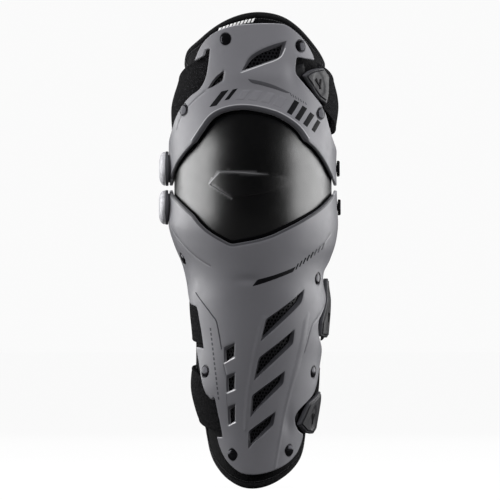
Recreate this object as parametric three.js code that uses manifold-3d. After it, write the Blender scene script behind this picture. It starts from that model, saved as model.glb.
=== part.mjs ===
// A motocross knee and shin guard for one leg, with two hinge axes.
// Millimetres, +Z up the leg, -Y is the front of the knee, +X is the buckle side.
// Shapes are drawn round a working origin midway between the two hinge axes, on the leg's middle
// line. The finished guard is then moved so that its origin is the middle of its lowest level.
// Three hard parts: a knee cup, a thigh shell above it and a shin shell below it.
// The shells turn on the cup's side wings, and each is lined with a foam pad and strapped on.
import * as THREE from "three";
import { mergeVertices } from "three/addons/utils/BufferGeometryUtils.js";
import Module from "manifold-3d";

const wasm = await Module();
wasm.setup();

// ---- driving dimensions ----
const PIVOT_Z = 19.5; // half the distance between the hinge axes
const SHELL = 3; // wall of both shells and of the cup
const GAP = 0.6; // clearance between layers
const FIT = 0.3; // clearance between parts on one hinge axis
const STRAP = 2.6; // thickness of the webbing
const FAR = 400; // longer than the guard, for cutters
const FACETS = 30; // faces round the leg
const ROW = 20; // height of one row of faces up the leg

// The outside of the shells round the leg, as stations up the leg:
// height, left side, right side, depth in front of the axes, depth behind them.
const LEG = [
  [-310, -43, 57, 57, 30],
  [-275, -47, 60, 58.5, 33],
  [-245, -52, 64, 60.5, 38],
  [-221, -59, 68, 63, 44],
  [-200, -63, 71, 65.5, 50],
  [-175, -62, 73, 69, 56],
  [-150, -62, 76.5, 72.5, 60],
  [-115, -64.5, 79, 77, 63],
  [-95, -64.5, 77, 80, 64],
  [-78, -68, 79, 83, 64],
  [-57, -76.5, 86, 86.5, 63],
  [-38, -82, 88.8, 89, 62],
  [-20, -81.5, 88, 90, 61],
  [0, -81, 87.5, 90.5, 61],
  [20, -81, 87, 89.5, 62],
  [40, -82, 87.5, 86, 65],
  [60, -82.5, 88.5, 80, 68],
  [80, -82.5, 90.5, 73.5, 70],
  [93, -80, 89.5, 71, 71],
  [107, -76, 86.5, 69.5, 71],
  [122, -74, 84, 68.5, 70],
  [142, -72, 80, 67, 68],
  [182, -69, 75, 65, 66],
];

// The knee cup: half width over its side wings, depth of the dome, size of the wing ends,
// the thickness of its foam, and the faces across it and round each end.
const CUP = { middle: 3, halfWidth: 77, depth: 88, wing: 15.5, foam: 8.4, stations: 14, steps: 9 };

// Layers inside the shells, as distances outwards from the shells' outside.
const LAYERS = {
  shell: [-SHELL, 0],
  mesh: [-SHELL - GAP - 1, -SHELL - GAP],
  strap: [-SHELL - GAP - STRAP, -SHELL - GAP],
  catch: [-SHELL - GAP - STRAP, -SHELL - GAP],
  pad: [-14.5, -7.5],
  buckle: [-SHELL, 2],
  tab: [-SHELL, -1.2],
};
// Both shells' heights, in whole rows, so that the layers' faces stay parallel.
const LEG_RANGE = { thigh: [-40, 180], shin: [-340, 40] };

// ---- outlines, seen from the front, as [x, z] ----
const THIGH_OUTLINE = [
  [-28, 159], [-14.7, 162.6], [4.4, 164], [29.4, 164.3], [36.7, 162.6], [48.4, 154.5],
  [57.2, 145], [63, 134.7], [64.6, 129.6], [63.5, 127], [47, 131], [45.5, 117],
  [48.4, 111], [64.6, 92.2], [72, 84], [95, 74], [95, -6], [83.6, 9.5],
  [76.3, 24.2], [66, 38.8], [55, 47.6], [48.4, 57.9], [36.7, 66.7], [22, 74],
  [-4.4, 79.2], [-22, 76], [-36.7, 71.1], [-47, 57.9], [-55, 46.2], [-66, 34.5],
  [-76.3, 19.8], [-80, 6.5], [-95, -6], [-95, 80], [-68, 84], [-60, 92.2],
  [-51.3, 98], [-46.9, 105.4], [-43.3, 114.2], [-40.3, 139], [-45.5, 137.6],
  [-47, 131.8], [-55.7, 127.6], [-52.8, 136.2], [-46.9, 146.5], [-36.7, 154.5],
];
const SHIN_OUTLINE = [
  [-95, 6], [-80.7, -2.3], [-74.8, -11.1], [-57.2, -27.9], [-47, -40.4], [-36.7, -47.5],
  [-19.1, -57], [14.7, -51.2], [36.7, -40.9], [55.8, -30.6], [73.4, -18.9],
  [83.6, -8.6], [95, 6], [95, -170], [72, -172], [70.4, -178.5], [66.8, -200.5],
  [63, -209.3], [47, -225.5], [44.8, -234.3], [48.4, -244.5], [53.6, -247.5], [52, -256.3], [47, -268],
  [36.7, -277.5], [22, -284.1], [7.4, -287.8], [-7.3, -287.1], [-16, -281.2],
  [-25, -272.4], [-30.8, -260.7], [-33, -251.1], [-27.9, -250.4], [-34.5, -213.7],
  [-38, -212.3], [-44.7, -207], [-47, -200.5], [-51.3, -178.5], [-53.5, -163],
  [-46.9, -161.6], [-52.8, -123.5], [-60, -117.2], [-95, -115],
];
const THIGH_VENTS = [
  [[-8.8, 116.4], [-1.5, 130.3], [7.4, 136.9], [36.7, 147.2], [30.8, 129.6], [14.7, 124.4]],
  [[-42, 99.5], [-36.7, 108.3], [-25.7, 117.8], [-27.1, 107.6], [-35, 102.5]],
];
const SHIN_VENTS = [
  [[51, -102], [50, -110.9], [14, -148], [18.5, -131.5], [42, -110.5]],
  [[41.5, -144.5], [40, -155], [7.5, -187.5], [10.5, -172]],
  [[32, -186.5], [30.5, -195], [3, -224.5], [4, -210]],
  [[23, -227.5], [21, -236.5], [0.5, -256.5], [0.5, -246]],
  [[-24.9, -163], [-16.4, -158.2], [-16.9, -168.9], [-24.5, -174.7]],
  [[-22.2, -191.3], [-16, -187.7], [-16.4, -201], [-21.8, -204.6]],
  [[-20.9, -222.5], [-15.7, -219.4], [-16, -233.7], [-20, -237.2]],
];
const THIGH_PAD_OUTLINE = [
  [10.3, 176.5], [-22, 168.5], [-36.7, 159.6], [-51.3, 147], [-60, 139], [-66, 131.8],
  [-67.5, 114], [-84, 100], [-84, 68], [-56, 81], [-28, 98.5], [30, 98.5], [58, 85],
  [92, 68], [92, 100], [74, 123], [69, 133.2], [58.7, 147.9], [44, 164], [29.4, 172.8],
];
const SHIN_PAD_OUTLINE = [
  [-80, -74], [-50, -84], [-20, -100.5], [28, -100.5], [56, -86], [84, -74], [80, -140],
  [74, -200], [57.2, -251.9], [54.3, -260.7], [47, -273.9], [36.7, -287], [22, -297.3],
  [5.9, -302], [-7.3, -301], [-22, -291.5], [-32.3, -278.3], [-41, -260.7],
  [-45.5, -244.5], [-60, -200], [-64, -140],
];
const THIGH_MESH_OUTLINE = [
  [-40, 101], [-34, 135], [-12, 150], [38, 155], [42, 128], [10, 112], [-14, 103],
];
const SHIN_MESH_OUTLINE = [
  [58, -98], [57, -120], [46, -170], [30, -240], [20, -268], [-8, -268], [-24, -245],
  [-33, -160], [-10, -150], [22, -120], [42, -100],
];

// ---- outlines, seen from the side, as [y, z]: how far back each piece reaches ----
const EAR = { radius: 17.5, from: -150, to: 30, steps: 8 }; // a shell's end round its pivot, in degrees

function earOutline(up) {
  // The rounded end of a shell round its pivot, from the front to the back.
  const points = [];
  for (let step = 0; step <= EAR.steps; step += 1) {
    const angle = (Math.PI / 180) * (EAR.from + ((EAR.to - EAR.from) * step) / EAR.steps);
    points.push([EAR.radius * Math.cos(angle), up * (PIVOT_Z + EAR.radius * Math.sin(angle))]);
  }
  return points;
}

const THIGH_SIDE = [
  [-130, -8], [-40, -8], ...earOutline(1), [15, 32], [4, 43], [-16, 52], [-30, 64], [-37, 76],
  [-42, 86], [-36, 92], [-8, 100], [-8, 200], [-130, 200],
];
const SHIN_SIDE = [
  [-130, 8], [-40, 8], ...earOutline(-1), [18, -38], [14, -55], [2, -80], [-8, -98],
  [-12, -115], [-12, -310], [-130, -310],
];
// The right-hand notch that the upper calf buckle sits in.
const CALF_NOTCH = [
  [-26, -84], [-24, -108], [-36, -134], [-36, -150], [-20, -163], [60, -163], [60, -84],
];
const PAD_SIDE = [[-130, -320], [-6, -320], [8, -120], [12, 0], [8, 200], [-130, 200]];
const CUP_SIDE = [
  [-130, 116], [-50, 92.5], [12, 33], [16.5, 20], [16.5, -20], [12, -33],
  [-50, -92.5], [-130, -116],
];
const FOAM_SIDE = [[-130, 96], [-48, 82], [-9, 44], [-9, -44], [-48, -82], [-130, -96]];
// Everything in front of the leg's middle, and everything behind it.
const FRONT_SIDE = [[-130, -320], [-2, -320], [-2, 200], [-130, 200]];
const BACK_SIDE = [[2, -320], [200, -320], [200, 200], [2, 200]];
// Everything to the right of the leg's middle, seen from the front.
const RIGHT_SIDE = [[20, -320], [200, -320], [200, 200], [20, 200]];

// ---- fasteners ----
// Rivet places, as [x, z] on a shell.
const THIGH_RIVETS = {
  upper_left: [-24.6, 148.8], upper_right: [50.7, 142],
  lower_left: [-66.7, 78.2], lower_right: [71.2, 74.5],
};
const SHIN_RIVETS = {
  upper_left: [-67.5, -71.7], upper_right: [68.2, -91.5],
  middle_left: [-45, -184.4], middle_right: [63.8, -185.1],
  lower_left: [-17.6, -267.7], lower_right: [39.3, -263.6],
};
const RIVET = { head: 5.6, seat: 0.9, edge: 0.8, rise: 2.6, shank: 2.4, depth: 3.4 };
// A hinge's bolt, bush and nut, and the ring and domed cap over the left-hand bolts.
const BOLT = { shaft: 3.6, head: 8, flat: 5.6, edge: 0.4, left: 2, right: 3 };
const BUSH = { radius: 6, proud: 0.2 };
const NUT = { radius: 6.4, thick: 3.4, sides: 6 };
const CAP = { radius: 17, edge: 1, rise: 5, taper: 0.98, ring: 3 };
const DOME_STEPS = 3; // steps up a rivet's or a cap's dome
const TURNED = { small: 12, plain: 16, large: 24 }; // faces round turned parts

// ---- straps: the band seen from the side, and where its ends stop seen from the front ----
const STRAPS = {
  thigh_strap: {
    body: "thigh",
    side: [[-64, 100], [-64, 138], [-40, 128], [0, 112], [90, 104], [90, 50], [0, 57], [-40, 78]],
    front: [
      [-95, 145], [-43, 145], [-43, 60], [0, 60], [0, 0], [66, 0], [66, 145], [110, 145],
      [110, -10], [-95, -10],
    ],
    tab: [-70, -38, 60, 96],
  },
  upper_calf_strap: {
    body: "shin",
    side: [
      [-60, -119], [-60, -159], [0, -153], [90, -148], [90, -98], [0, -103], [-26, -98], [-40, -112],
    ],
    front: [
      [-95, -90], [-46, -90], [-46, -163], [74.5, -163], [74.5, -90], [110, -90], [110, -170], [-95, -170],
    ],
    tab: [-56, -28, -142, -106],
  },
  lower_calf_strap: {
    body: "shin",
    side: [[-58, -214], [-58, -248], [0, -236], [90, -232], [90, -178], [0, -180], [-30, -186]],
    front: [
      [-95, -170], [-28, -170], [-28, -252], [58, -252], [58, -170], [110, -170], [110, -255], [-95, -255],
    ],
    tab: [-48, -22, -226, -188],
  },
};

// ---- buckles ----
// The plate's outline is seen from the front, or from the side for the one on the calf's side.
// Each plate turns on its straight front edge, where it hooks the catch under the shell.
const BUCKLES = {
  thigh_buckle: {
    body: "thigh",
    front: [[53, 114], [64, 118.5], [72, 120.3], [78, 112], [77.3, 91.5], [75.6, 84.7], [69, 90]],
    catch: [[42, 112], [47, 122], [56, 124], [60, 104], [54, 100]],
  },
  upper_calf_buckle: {
    body: "shin",
    side: [[-19, -110], [-32, -135], [-31, -149], [0, -151], [2, -140], [0, -108], [-8, -97]],
    catch: [[62, -104], [71, -104], [71, -126], [62, -126]],
  },
  lower_calf_buckle: {
    body: "shin",
    front: [
      [69, -205.6], [71.7, -214.7], [68.7, -239.6], [66.8, -243], [62.2, -246.5], [56, -245],
      [49, -238], [59.5, -216],
    ],
    catch: [[36, -226], [44, -220], [52, -226], [50, -246], [40, -246]],
  },
};

// ---- materials ----
function plastic(name, color, roughness) {
  return new THREE.MeshStandardMaterial({ name, color, roughness, metalness: 0 });
}
const GREY = plastic("grey_shell", 0x6d6e72, 0.45);
const BLACK = plastic("black_cup", 0x0c0c0e, 0.35);
const CHARCOAL = plastic("charcoal_clip", 0x2a2a2e, 0.5);
const FABRIC = plastic("black_fabric", 0x121214, 0.95);
const WEBBING = plastic("elastic_webbing", 0x18181a, 0.9);
const STEEL = new THREE.MeshStandardMaterial({
  name: "dark_steel", color: 0x3a3b40, roughness: 0.35, metalness: 0.9,
});

// ---- solids ----
function solid(geometry) {
  // A closed geometry as a manifold solid.
  const bare = geometry.index ? geometry.toNonIndexed() : geometry.clone();
  bare.deleteAttribute("normal");
  bare.deleteAttribute("uv");
  const merged = mergeVertices(bare, 1e-4);
  return new wasm.Manifold(new wasm.Mesh({
    numProp: 3,
    vertProperties: merged.attributes.position.array,
    triVerts: new Uint32Array(merged.index.array),
  }));
}

function geometryOf(body) {
  const { numProp, vertProperties, triVerts } = body.getMesh();
  const position = new Float32Array((vertProperties.length / numProp) * 3);
  for (let i = 0; i * numProp < vertProperties.length; i += 1) {
    position.set(vertProperties.subarray(i * numProp, i * numProp + 3), i * 3);
  }
  return new THREE.BufferGeometry()
    .setAttribute("position", new THREE.BufferAttribute(position, 3))
    .setIndex(new THREE.BufferAttribute(new Uint32Array(triVerts), 1));
}

function largestBody(body) {
  // A cut can leave slivers, which aren't part of the piece.
  return body.decompose().reduce((a, b) => (b.volume() > a.volume() ? b : a));
}

function loft(rings) {
  // A closed solid through rings of points that run anticlockwise seen from the last ring.
  const count = rings[0].length;
  const position = rings.flat().flatMap((point) => [point.x, point.y, point.z]);
  const index = [];
  for (let row = 0; row + 1 < rings.length; row += 1) {
    for (let i = 0; i < count; i += 1) {
      const a = row * count + i;
      const b = row * count + ((i + 1) % count);
      index.push(a, b, b + count, a, b + count, a + count);
    }
  }
  const last = (rings.length - 1) * count;
  for (let i = 1; i + 1 < count; i += 1) {
    index.push(0, i + 1, i, last, last + i, last + i + 1);
  }
  const geometry = new THREE.BufferGeometry();
  geometry.setAttribute("position", new THREE.Float32BufferAttribute(position, 3));
  geometry.setIndex(index);
  return solid(geometry);
}

function outlineShape(points) {
  return new THREE.Shape(points.map(([a, b]) => new THREE.Vector2(a, b)));
}

function prism(points) {
  return new THREE.ExtrudeGeometry(outlineShape(points), { depth: FAR, bevelEnabled: false });
}

function frontPrism(points) {
  // An [x, z] outline extruded from front to back.
  const geometry = prism(points);
  geometry.rotateX(Math.PI / 2);
  geometry.translate(0, FAR / 2, 0);
  return solid(geometry);
}

function sidePrism(points) {
  // A [y, z] outline extruded from side to side.
  const geometry = prism(points);
  geometry.rotateX(Math.PI / 2);
  geometry.rotateZ(Math.PI / 2);
  geometry.translate(-FAR / 2, 0, 0);
  return solid(geometry);
}

// ---- the leg's surface ----
function smooth(column, z) {
  // A smooth curve through one column of the stations.
  const last = LEG.length - 1;
  let i = 0;
  while (i < last - 1 && LEG[i + 1][0] < z) i += 1;
  const slope = (j) => {
    const low = Math.max(j - 1, 0);
    const high = Math.min(j + 1, last);
    return (LEG[high][column] - LEG[low][column]) / (LEG[high][0] - LEG[low][0]);
  };
  const span = LEG[i + 1][0] - LEG[i][0];
  const t = Math.min(Math.max((z - LEG[i][0]) / span, 0), 1);
  const start = LEG[i][column];
  const end = LEG[i + 1][column];
  return start * (1 + 2 * t) * (1 - t) ** 2 + slope(i) * span * t * (1 - t) ** 2
    + end * t * t * (3 - 2 * t) - slope(i + 1) * span * t * t * (1 - t);
}

function legSection(z) {
  const left = smooth(1, z);
  const right = smooth(2, z);
  return {
    middle: (left + right) / 2, half: (right - left) / 2, front: smooth(3, z), back: smooth(4, z),
  };
}

function legPoint(z, angle, offset) {
  // A point round the leg: angle 0 is the front, and turns towards +X.
  const { middle, half, front, back } = legSection(z);
  const depth = Math.cos(angle) > 0 ? front : back;
  return new THREE.Vector3(
    middle + (half + offset) * Math.sin(angle),
    -(depth + offset) * Math.cos(angle),
    z,
  );
}

function frontPoint(x, z, offset) {
  // The point in front of the leg at x and z.
  const { middle, half } = legSection(z);
  return legPoint(z, Math.asin((x - middle) / half), offset);
}

function frontNormal(x, z) {
  // The leg's outward direction there, from its slopes over a short reach.
  const reach = 1;
  const across = frontPoint(x + reach, z, 0).sub(frontPoint(x - reach, z, 0));
  const along = frontPoint(x, z + reach, 0).sub(frontPoint(x, z - reach, 0));
  return across.cross(along).normalize();
}

function legSolid(low, high, offset) {
  // The whole leg between two heights, grown or shrunk by an offset.
  const rows = Math.round((high - low) / ROW);
  const rings = [];
  for (let row = 0; row <= rows; row += 1) {
    const z = low + ((high - low) * row) / rows;
    const ring = [];
    for (let i = 0; i < FACETS; i += 1) {
      ring.push(legPoint(z, (2 * Math.PI * i) / FACETS, offset));
    }
    rings.push(ring);
  }
  return loft(rings);
}

function layer(body, [inside, outside]) {
  // A sleeve round the leg between two offsets.
  const [low, high] = LEG_RANGE[body];
  const outer = legSolid(low, high, outside);
  return outer.subtract(legSolid(low - ROW, high + ROW, inside));
}

// ---- pieces ----
const guard = new THREE.Group();
guard.name = "knee_and_shin_guard";

function addPiece(name, body, material) {
  const mesh = new THREE.Mesh(geometryOf(body), material);
  mesh.name = name;
  guard.add(mesh);
}

function lathed(profile, segments) {
  // A profile of [radius, along] turned round its axis, which points along +Y.
  return new THREE.LatheGeometry(profile.map(([r, y]) => new THREE.Vector2(r, y)), segments);
}

function domed(radius, base, rise) {
  // A dome's profile, from its rim up to its top on the axis.
  const profile = [];
  for (let step = 0; step < DOME_STEPS; step += 1) {
    const angle = (Math.PI / 2 / DOME_STEPS) * step;
    profile.push([radius * Math.cos(angle), base + rise * Math.sin(angle)]);
  }
  profile.push([0, base + rise]);
  return profile;
}

function placed(geometry, origin, direction) {
  // A turned shape with its axis along a direction from an origin.
  const turn = new THREE.Quaternion().setFromUnitVectors(new THREE.Vector3(0, 1, 0), direction);
  geometry.applyQuaternion(turn);
  geometry.translate(origin.x, origin.y, origin.z);
  return solid(geometry);
}

function rod(radius, start, end, segments = TURNED.plain) {
  const span = end.clone().sub(start);
  const length = span.length();
  const profile = [[0, 0], [radius, 0], [radius, length], [0, length]];
  return placed(lathed(profile, segments), start, span.normalize());
}

function rivetHole([x, z]) {
  // A hole right through the shell's wall along its normal.
  const normal = frontNormal(x, z);
  const point = frontPoint(x, z, 0);
  const reach = 3 * SHELL;
  return rod(RIVET.shank + GAP, point.clone().addScaledVector(normal, reach),
    point.clone().addScaledVector(normal, -reach), TURNED.small);
}

function makeRivet(name, [x, z]) {
  // A domed head on a shank, with its axis along the shell's normal.
  const { head, seat, edge, rise, shank, depth } = RIVET;
  const profile = [
    [0, -depth], [shank, -depth], [shank, seat], [head, seat],
    ...domed(head, seat + edge, rise - edge),
  ];
  addPiece(name, placed(lathed(profile, TURNED.small), frontPoint(x, z, 0), frontNormal(x, z)), STEEL);
}

function axisRod(up, radius) {
  // A rod along one hinge axis, right through the guard.
  const start = new THREE.Vector3(-FAR / 2, 0, up * PIVOT_Z);
  return rod(radius, start, new THREE.Vector3(FAR / 2, 0, up * PIVOT_Z));
}

const frontHalf = sidePrism(FRONT_SIDE);
const backHalf = sidePrism(BACK_SIDE);
const rightHalf = frontPrism(RIGHT_SIDE);

function makeShell(name, body, outline, side, vents, rivets, notch) {
  let shell = layer(body, LAYERS.shell).intersect(frontPrism(outline)).intersect(sidePrism(side));
  for (const vent of vents) shell = shell.subtract(frontPrism(vent).intersect(frontHalf));
  if (notch) shell = shell.subtract(notch);
  shell = shell.subtract(axisRod(body === "thigh" ? 1 : -1, BUSH.radius + GAP));
  for (const [place, at] of Object.entries(rivets)) {
    shell = shell.subtract(rivetHole(at));
    makeRivet(`${body}_rivet_${place}`, at);
  }
  addPiece(name, largestBody(shell), GREY);
}

function makePatch(name, body, layerRange, outline, side, material) {
  const patch = layer(body, layerRange).intersect(frontPrism(outline)).intersect(sidePrism(side));
  addPiece(name, largestBody(patch), material);
}

function makeStrap(name, { body, side, front, tab }) {
  // A band that runs right round the back, and a pull tab on the band.
  const reach = frontPrism(front).add(backHalf);
  const strap = layer(body, LAYERS.strap).intersect(sidePrism(side)).intersect(reach);
  addPiece(name, largestBody(strap), WEBBING);
  const [left, right, low, high] = tab;
  const patch = frontPrism([[left, low], [right, low], [right, high], [left, high]]).intersect(backHalf);
  addPiece(`${name}_tab`, largestBody(layer(body, LAYERS.tab).intersect(patch)), CHARCOAL);
}

function makeBuckle(name, { body, front, side, catch: seat }) {
  // The plate over the shell's edge, and the catch under it.
  const plate = side ? sidePrism(side).intersect(rightHalf) : frontPrism(front).intersect(frontHalf);
  addPiece(name, largestBody(layer(body, LAYERS.buckle).intersect(plate)), CHARCOAL);
  makePatch(`${name.replace("_buckle", "")}_catch`, body, LAYERS.catch, seat, FRONT_SIDE, CHARCOAL);
}

// ---- the knee cup ----
function cupSolid(inset) {
  // A dome whose side view, at every x, is two arcs round the hinge axes joined by straight lines.
  const half = CUP.halfWidth - inset;
  const stations = CUP.stations;
  const rings = [];
  for (let i = 0; i <= stations; i += 1) {
    const across = -Math.cos((Math.PI * i) / stations);
    const x = CUP.middle + half * across;
    const dome = (CUP.depth - inset) * Math.sqrt(Math.max(0, 1 - across * across));
    rings.push(stadium(x, Math.max(CUP.wing - inset, dome)));
  }
  return loft(rings);
}

function stadium(x, radius) {
  // Two half circles round the hinge axes, joined by straight lines.
  const ring = [];
  for (const up of [1, -1]) {
    for (let i = 0; i <= CUP.steps; i += 1) {
      const angle = (Math.PI * i) / CUP.steps + (up > 0 ? 0 : Math.PI);
      ring.push(new THREE.Vector3(x, radius * Math.cos(angle), up * PIVOT_Z + radius * Math.sin(angle)));
    }
  }
  return ring;
}

function makeCup() {
  let cup = cupSolid(0).subtract(cupSolid(SHELL)).intersect(sidePrism(CUP_SIDE));
  for (const up of [1, -1]) cup = cup.subtract(axisRod(up, BOLT.shaft + GAP));
  addPiece("knee_cup", largestBody(cup), BLACK);
  const foam = cupSolid(SHELL + GAP).subtract(cupSolid(SHELL + GAP + CUP.foam));
  addPiece("knee_foam", largestBody(foam.intersect(sidePrism(FOAM_SIDE))), FABRIC);
}

// ---- the hinges ----
function turned(name, profile, up, side, start, material, segments = TURNED.plain) {
  // A part turned round a hinge axis: its profile runs outwards from a distance to one side.
  const origin = new THREE.Vector3(side * start, 0, up * PIVOT_Z);
  addPiece(name, placed(lathed(profile, segments), origin, new THREE.Vector3(side, 0, 0)), material);
}

function tube(bore, radius, length) {
  // The profile of a plain tube.
  return [[bore, 0], [radius, 0], [radius, length], [bore, length], [bore, 0]];
}

function makeHinge(up, side) {
  const label = `${up > 0 ? "upper" : "lower"}_${side > 0 ? "right" : "left"}`;
  const face = Math.abs(legPoint(up * PIVOT_Z, (side * Math.PI) / 2, 0).x);
  const wing = CUP.halfWidth + side * CUP.middle;
  // The bush fills the shell's hole, from the cup's wing to the bolt's head.
  const bush = tube(BOLT.shaft + FIT, BUSH.radius, face + BUSH.proud - wing - FIT);
  turned(`hinge_bush_${label}`, bush, up, side, wing + FIT, STEEL);
  // The nut sits inside the wing, and its six-sided bore clears the round shaft.
  const nutStart = wing - SHELL - FIT - NUT.thick;
  const nut = tube((BOLT.shaft + FIT) / Math.cos(Math.PI / NUT.sides), NUT.radius, NUT.thick);
  turned(`hinge_nut_${label}`, nut, up, side, nutStart, STEEL, NUT.sides);
  // The bolt's head has a flat top: taller on the right, and under a cap on the left.
  const seat = face + BUSH.proud + FIT - nutStart;
  const rise = side > 0 ? BOLT.right : BOLT.left;
  turned(`hinge_bolt_${label}`, [
    [0, 0], [BOLT.shaft, 0], [BOLT.shaft, seat], [BOLT.head, seat],
    [BOLT.head, seat + rise * BOLT.edge], [BOLT.flat, seat + rise], [0, seat + rise],
  ], up, side, nutStart, STEEL);
  if (side < 0) makeCap(label, up);
}

function makeCap(label, up) {
  // A dark ring round the bolt's head, and a grey domed cap over both.
  const heights = [-1, 0, 1].map((way) => up * PIVOT_Z + way * CAP.radius);
  const face = Math.max(...heights.map((z) => -smooth(1, z)));
  const ringStart = face + FIT;
  turned(`hinge_ring_${label}`, tube(BOLT.head + GAP, CAP.radius, CAP.ring), up, -1, ringStart,
    CHARCOAL, TURNED.large);
  const radius = CAP.radius * CAP.taper;
  turned(`hinge_cap_${label}`, [[0, 0], [radius, 0], ...domed(radius, CAP.edge, CAP.rise)], up, -1,
    ringStart + CAP.ring + FIT, GREY, TURNED.large);
}

// ---- the guard ----
makeCup();
for (const up of [1, -1]) {
  for (const side of [-1, 1]) makeHinge(up, side);
}
makeShell("thigh_shell", "thigh", THIGH_OUTLINE, THIGH_SIDE, THIGH_VENTS, THIGH_RIVETS);
const calfNotch = sidePrism(CALF_NOTCH).intersect(rightHalf);
makeShell("shin_shell", "shin", SHIN_OUTLINE, SHIN_SIDE, SHIN_VENTS, SHIN_RIVETS, calfNotch);
makePatch("thigh_pad", "thigh", LAYERS.pad, THIGH_PAD_OUTLINE, PAD_SIDE, FABRIC);
makePatch("shin_pad", "shin", LAYERS.pad, SHIN_PAD_OUTLINE, PAD_SIDE, FABRIC);
makePatch("thigh_vent_mesh", "thigh", LAYERS.mesh, THIGH_MESH_OUTLINE, FRONT_SIDE, FABRIC);
makePatch("shin_vent_mesh", "shin", LAYERS.mesh, SHIN_MESH_OUTLINE, FRONT_SIDE, FABRIC);
for (const [name, strap] of Object.entries(STRAPS)) makeStrap(name, strap);
for (const [name, buckle] of Object.entries(BUCKLES)) makeBuckle(name, buckle);

const bounds = new THREE.Box3().setFromObject(guard);
const middle = bounds.getCenter(new THREE.Vector3());
guard.position.set(-middle.x, -middle.y, -bounds.min.z);

export default guard;
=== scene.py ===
# The looks of a motocross knee and shin guard, built round its CAD frame.
# Shapes are drawn in millimetres round a working origin midway between the two hinge axes:
# +X is the buckle side, -Y the front of the knee, +Z up the leg.
import math

import bpy
import numpy as np
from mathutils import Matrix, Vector
from mathutils.geometry import delaunay_2d_cdt
from mathutils.kdtree import KDTree

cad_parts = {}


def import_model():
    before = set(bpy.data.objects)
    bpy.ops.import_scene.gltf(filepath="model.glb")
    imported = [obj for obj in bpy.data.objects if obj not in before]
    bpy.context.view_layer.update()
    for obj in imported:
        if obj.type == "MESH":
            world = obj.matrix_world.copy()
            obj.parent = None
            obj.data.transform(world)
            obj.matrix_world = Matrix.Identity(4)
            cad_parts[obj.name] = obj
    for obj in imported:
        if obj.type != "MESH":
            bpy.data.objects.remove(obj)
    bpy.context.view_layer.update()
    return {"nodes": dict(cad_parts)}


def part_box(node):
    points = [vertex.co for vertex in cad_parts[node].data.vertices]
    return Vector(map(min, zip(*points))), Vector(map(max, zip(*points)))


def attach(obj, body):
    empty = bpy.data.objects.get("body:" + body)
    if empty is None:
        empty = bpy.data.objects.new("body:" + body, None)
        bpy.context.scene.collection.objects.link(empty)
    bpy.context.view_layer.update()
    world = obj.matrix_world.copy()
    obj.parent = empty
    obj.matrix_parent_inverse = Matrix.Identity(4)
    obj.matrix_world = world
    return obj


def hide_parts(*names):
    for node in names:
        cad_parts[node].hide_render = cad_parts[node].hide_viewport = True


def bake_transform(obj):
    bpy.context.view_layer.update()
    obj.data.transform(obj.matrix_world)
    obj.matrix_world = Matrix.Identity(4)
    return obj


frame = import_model()

MM = 0.001


def centre(node):
    low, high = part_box(node)
    return (low + high) / 2


# ---- driving dimensions, the same as the CAD's ----
PIVOT_Z = 19.5  # half the distance between the hinge axes
CUP_MIDDLE = 3
CUP_HALF = 77
CUP_DEPTH = 88
CUP_SWELL = 2.5  # how much thicker the cup's sides are at the hinges
SWELL_ENDS = (-7, 5)  # the y range where that fades out, so that the shells' ends clear it
WALL = 3

hinge_middle = (centre("hinge_bolt_upper_right") + centre("hinge_bolt_lower_right")) / 2
ORIGIN = np.array([centre("knee_cup").x - CUP_MIDDLE * MM, hinge_middle.y, hinge_middle.z])


def world(points):
    """Working millimetres to the frame's metres."""
    return ORIGIN + np.asarray(points, float) * MM


# The outside of the shells round the leg, as stations up the leg:
# height, left side, right side, depth in front of the axes, depth behind them.
LEG = np.array([
    [-310, -43, 57, 57, 30], [-275, -47, 60, 58.5, 33], [-245, -52, 64, 60.5, 38],
    [-221, -59, 68, 63, 44], [-200, -63, 71, 65.5, 50], [-175, -62, 73, 69, 56],
    [-150, -62, 76.5, 72.5, 60], [-115, -64.5, 79, 77, 63], [-95, -64.5, 77, 80, 64],
    [-78, -68, 79, 83, 64], [-57, -76.5, 86, 86.5, 63], [-38, -82, 88.8, 89, 62],
    [-20, -81.5, 88, 90, 61], [0, -81, 87.5, 90.5, 61], [20, -81, 87, 89.5, 62],
    [40, -82, 87.5, 86, 65], [60, -82.5, 88.5, 80, 68], [80, -82.5, 90.5, 73.5, 70],
    [93, -80, 89.5, 71, 71], [107, -76, 86.5, 69.5, 71], [122, -74, 84, 68.5, 70],
    [142, -72, 80, 67, 68], [182, -69, 75, 65, 66],
])
ROUND = 80  # millimetres of the flat domain for one radian round the leg


def hermite(keys, values, slopes, where):
    """A smooth curve through key values, with a slope given at each."""
    i = np.clip(np.searchsorted(keys, where, side="right") - 1, 0, len(keys) - 2)
    span = keys[i + 1] - keys[i]
    t = np.clip((where - keys[i]) / span, 0, 1)
    return (values[i] * (1 + 2 * t) * (1 - t) ** 2 + slopes[i] * span * t * (1 - t) ** 2
            + values[i + 1] * t * t * (3 - 2 * t) - slopes[i + 1] * span * t * t * (1 - t))


def station(column, z):
    """A smooth curve through one column of the stations."""
    heights = LEG[:, 0]
    values = LEG[:, column]
    index = np.arange(len(LEG))
    low = np.maximum(index - 1, 0)
    high = np.minimum(index + 1, len(LEG) - 1)
    slopes = (values[high] - values[low]) / (heights[high] - heights[low])
    return hermite(heights, values, slopes, z)


# ---- the two curved surfaces that pieces are drawn on ----
def leg(u, z, offset=0.0):
    """Points round the leg: u is the angle from the front, in domain millimetres."""
    u = np.asarray(u, float)
    z = np.asarray(z, float)
    angle = u / ROUND
    left = station(1, z)
    right = station(2, z)
    depth = np.where(np.cos(angle) > 0, station(3, z), station(4, z))
    x = (left + right) / 2 + ((right - left) / 2 + offset) * np.sin(angle)
    y = -(depth + offset) * np.cos(angle)
    return np.stack([x, y, z + 0 * u], axis=-1)


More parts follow.
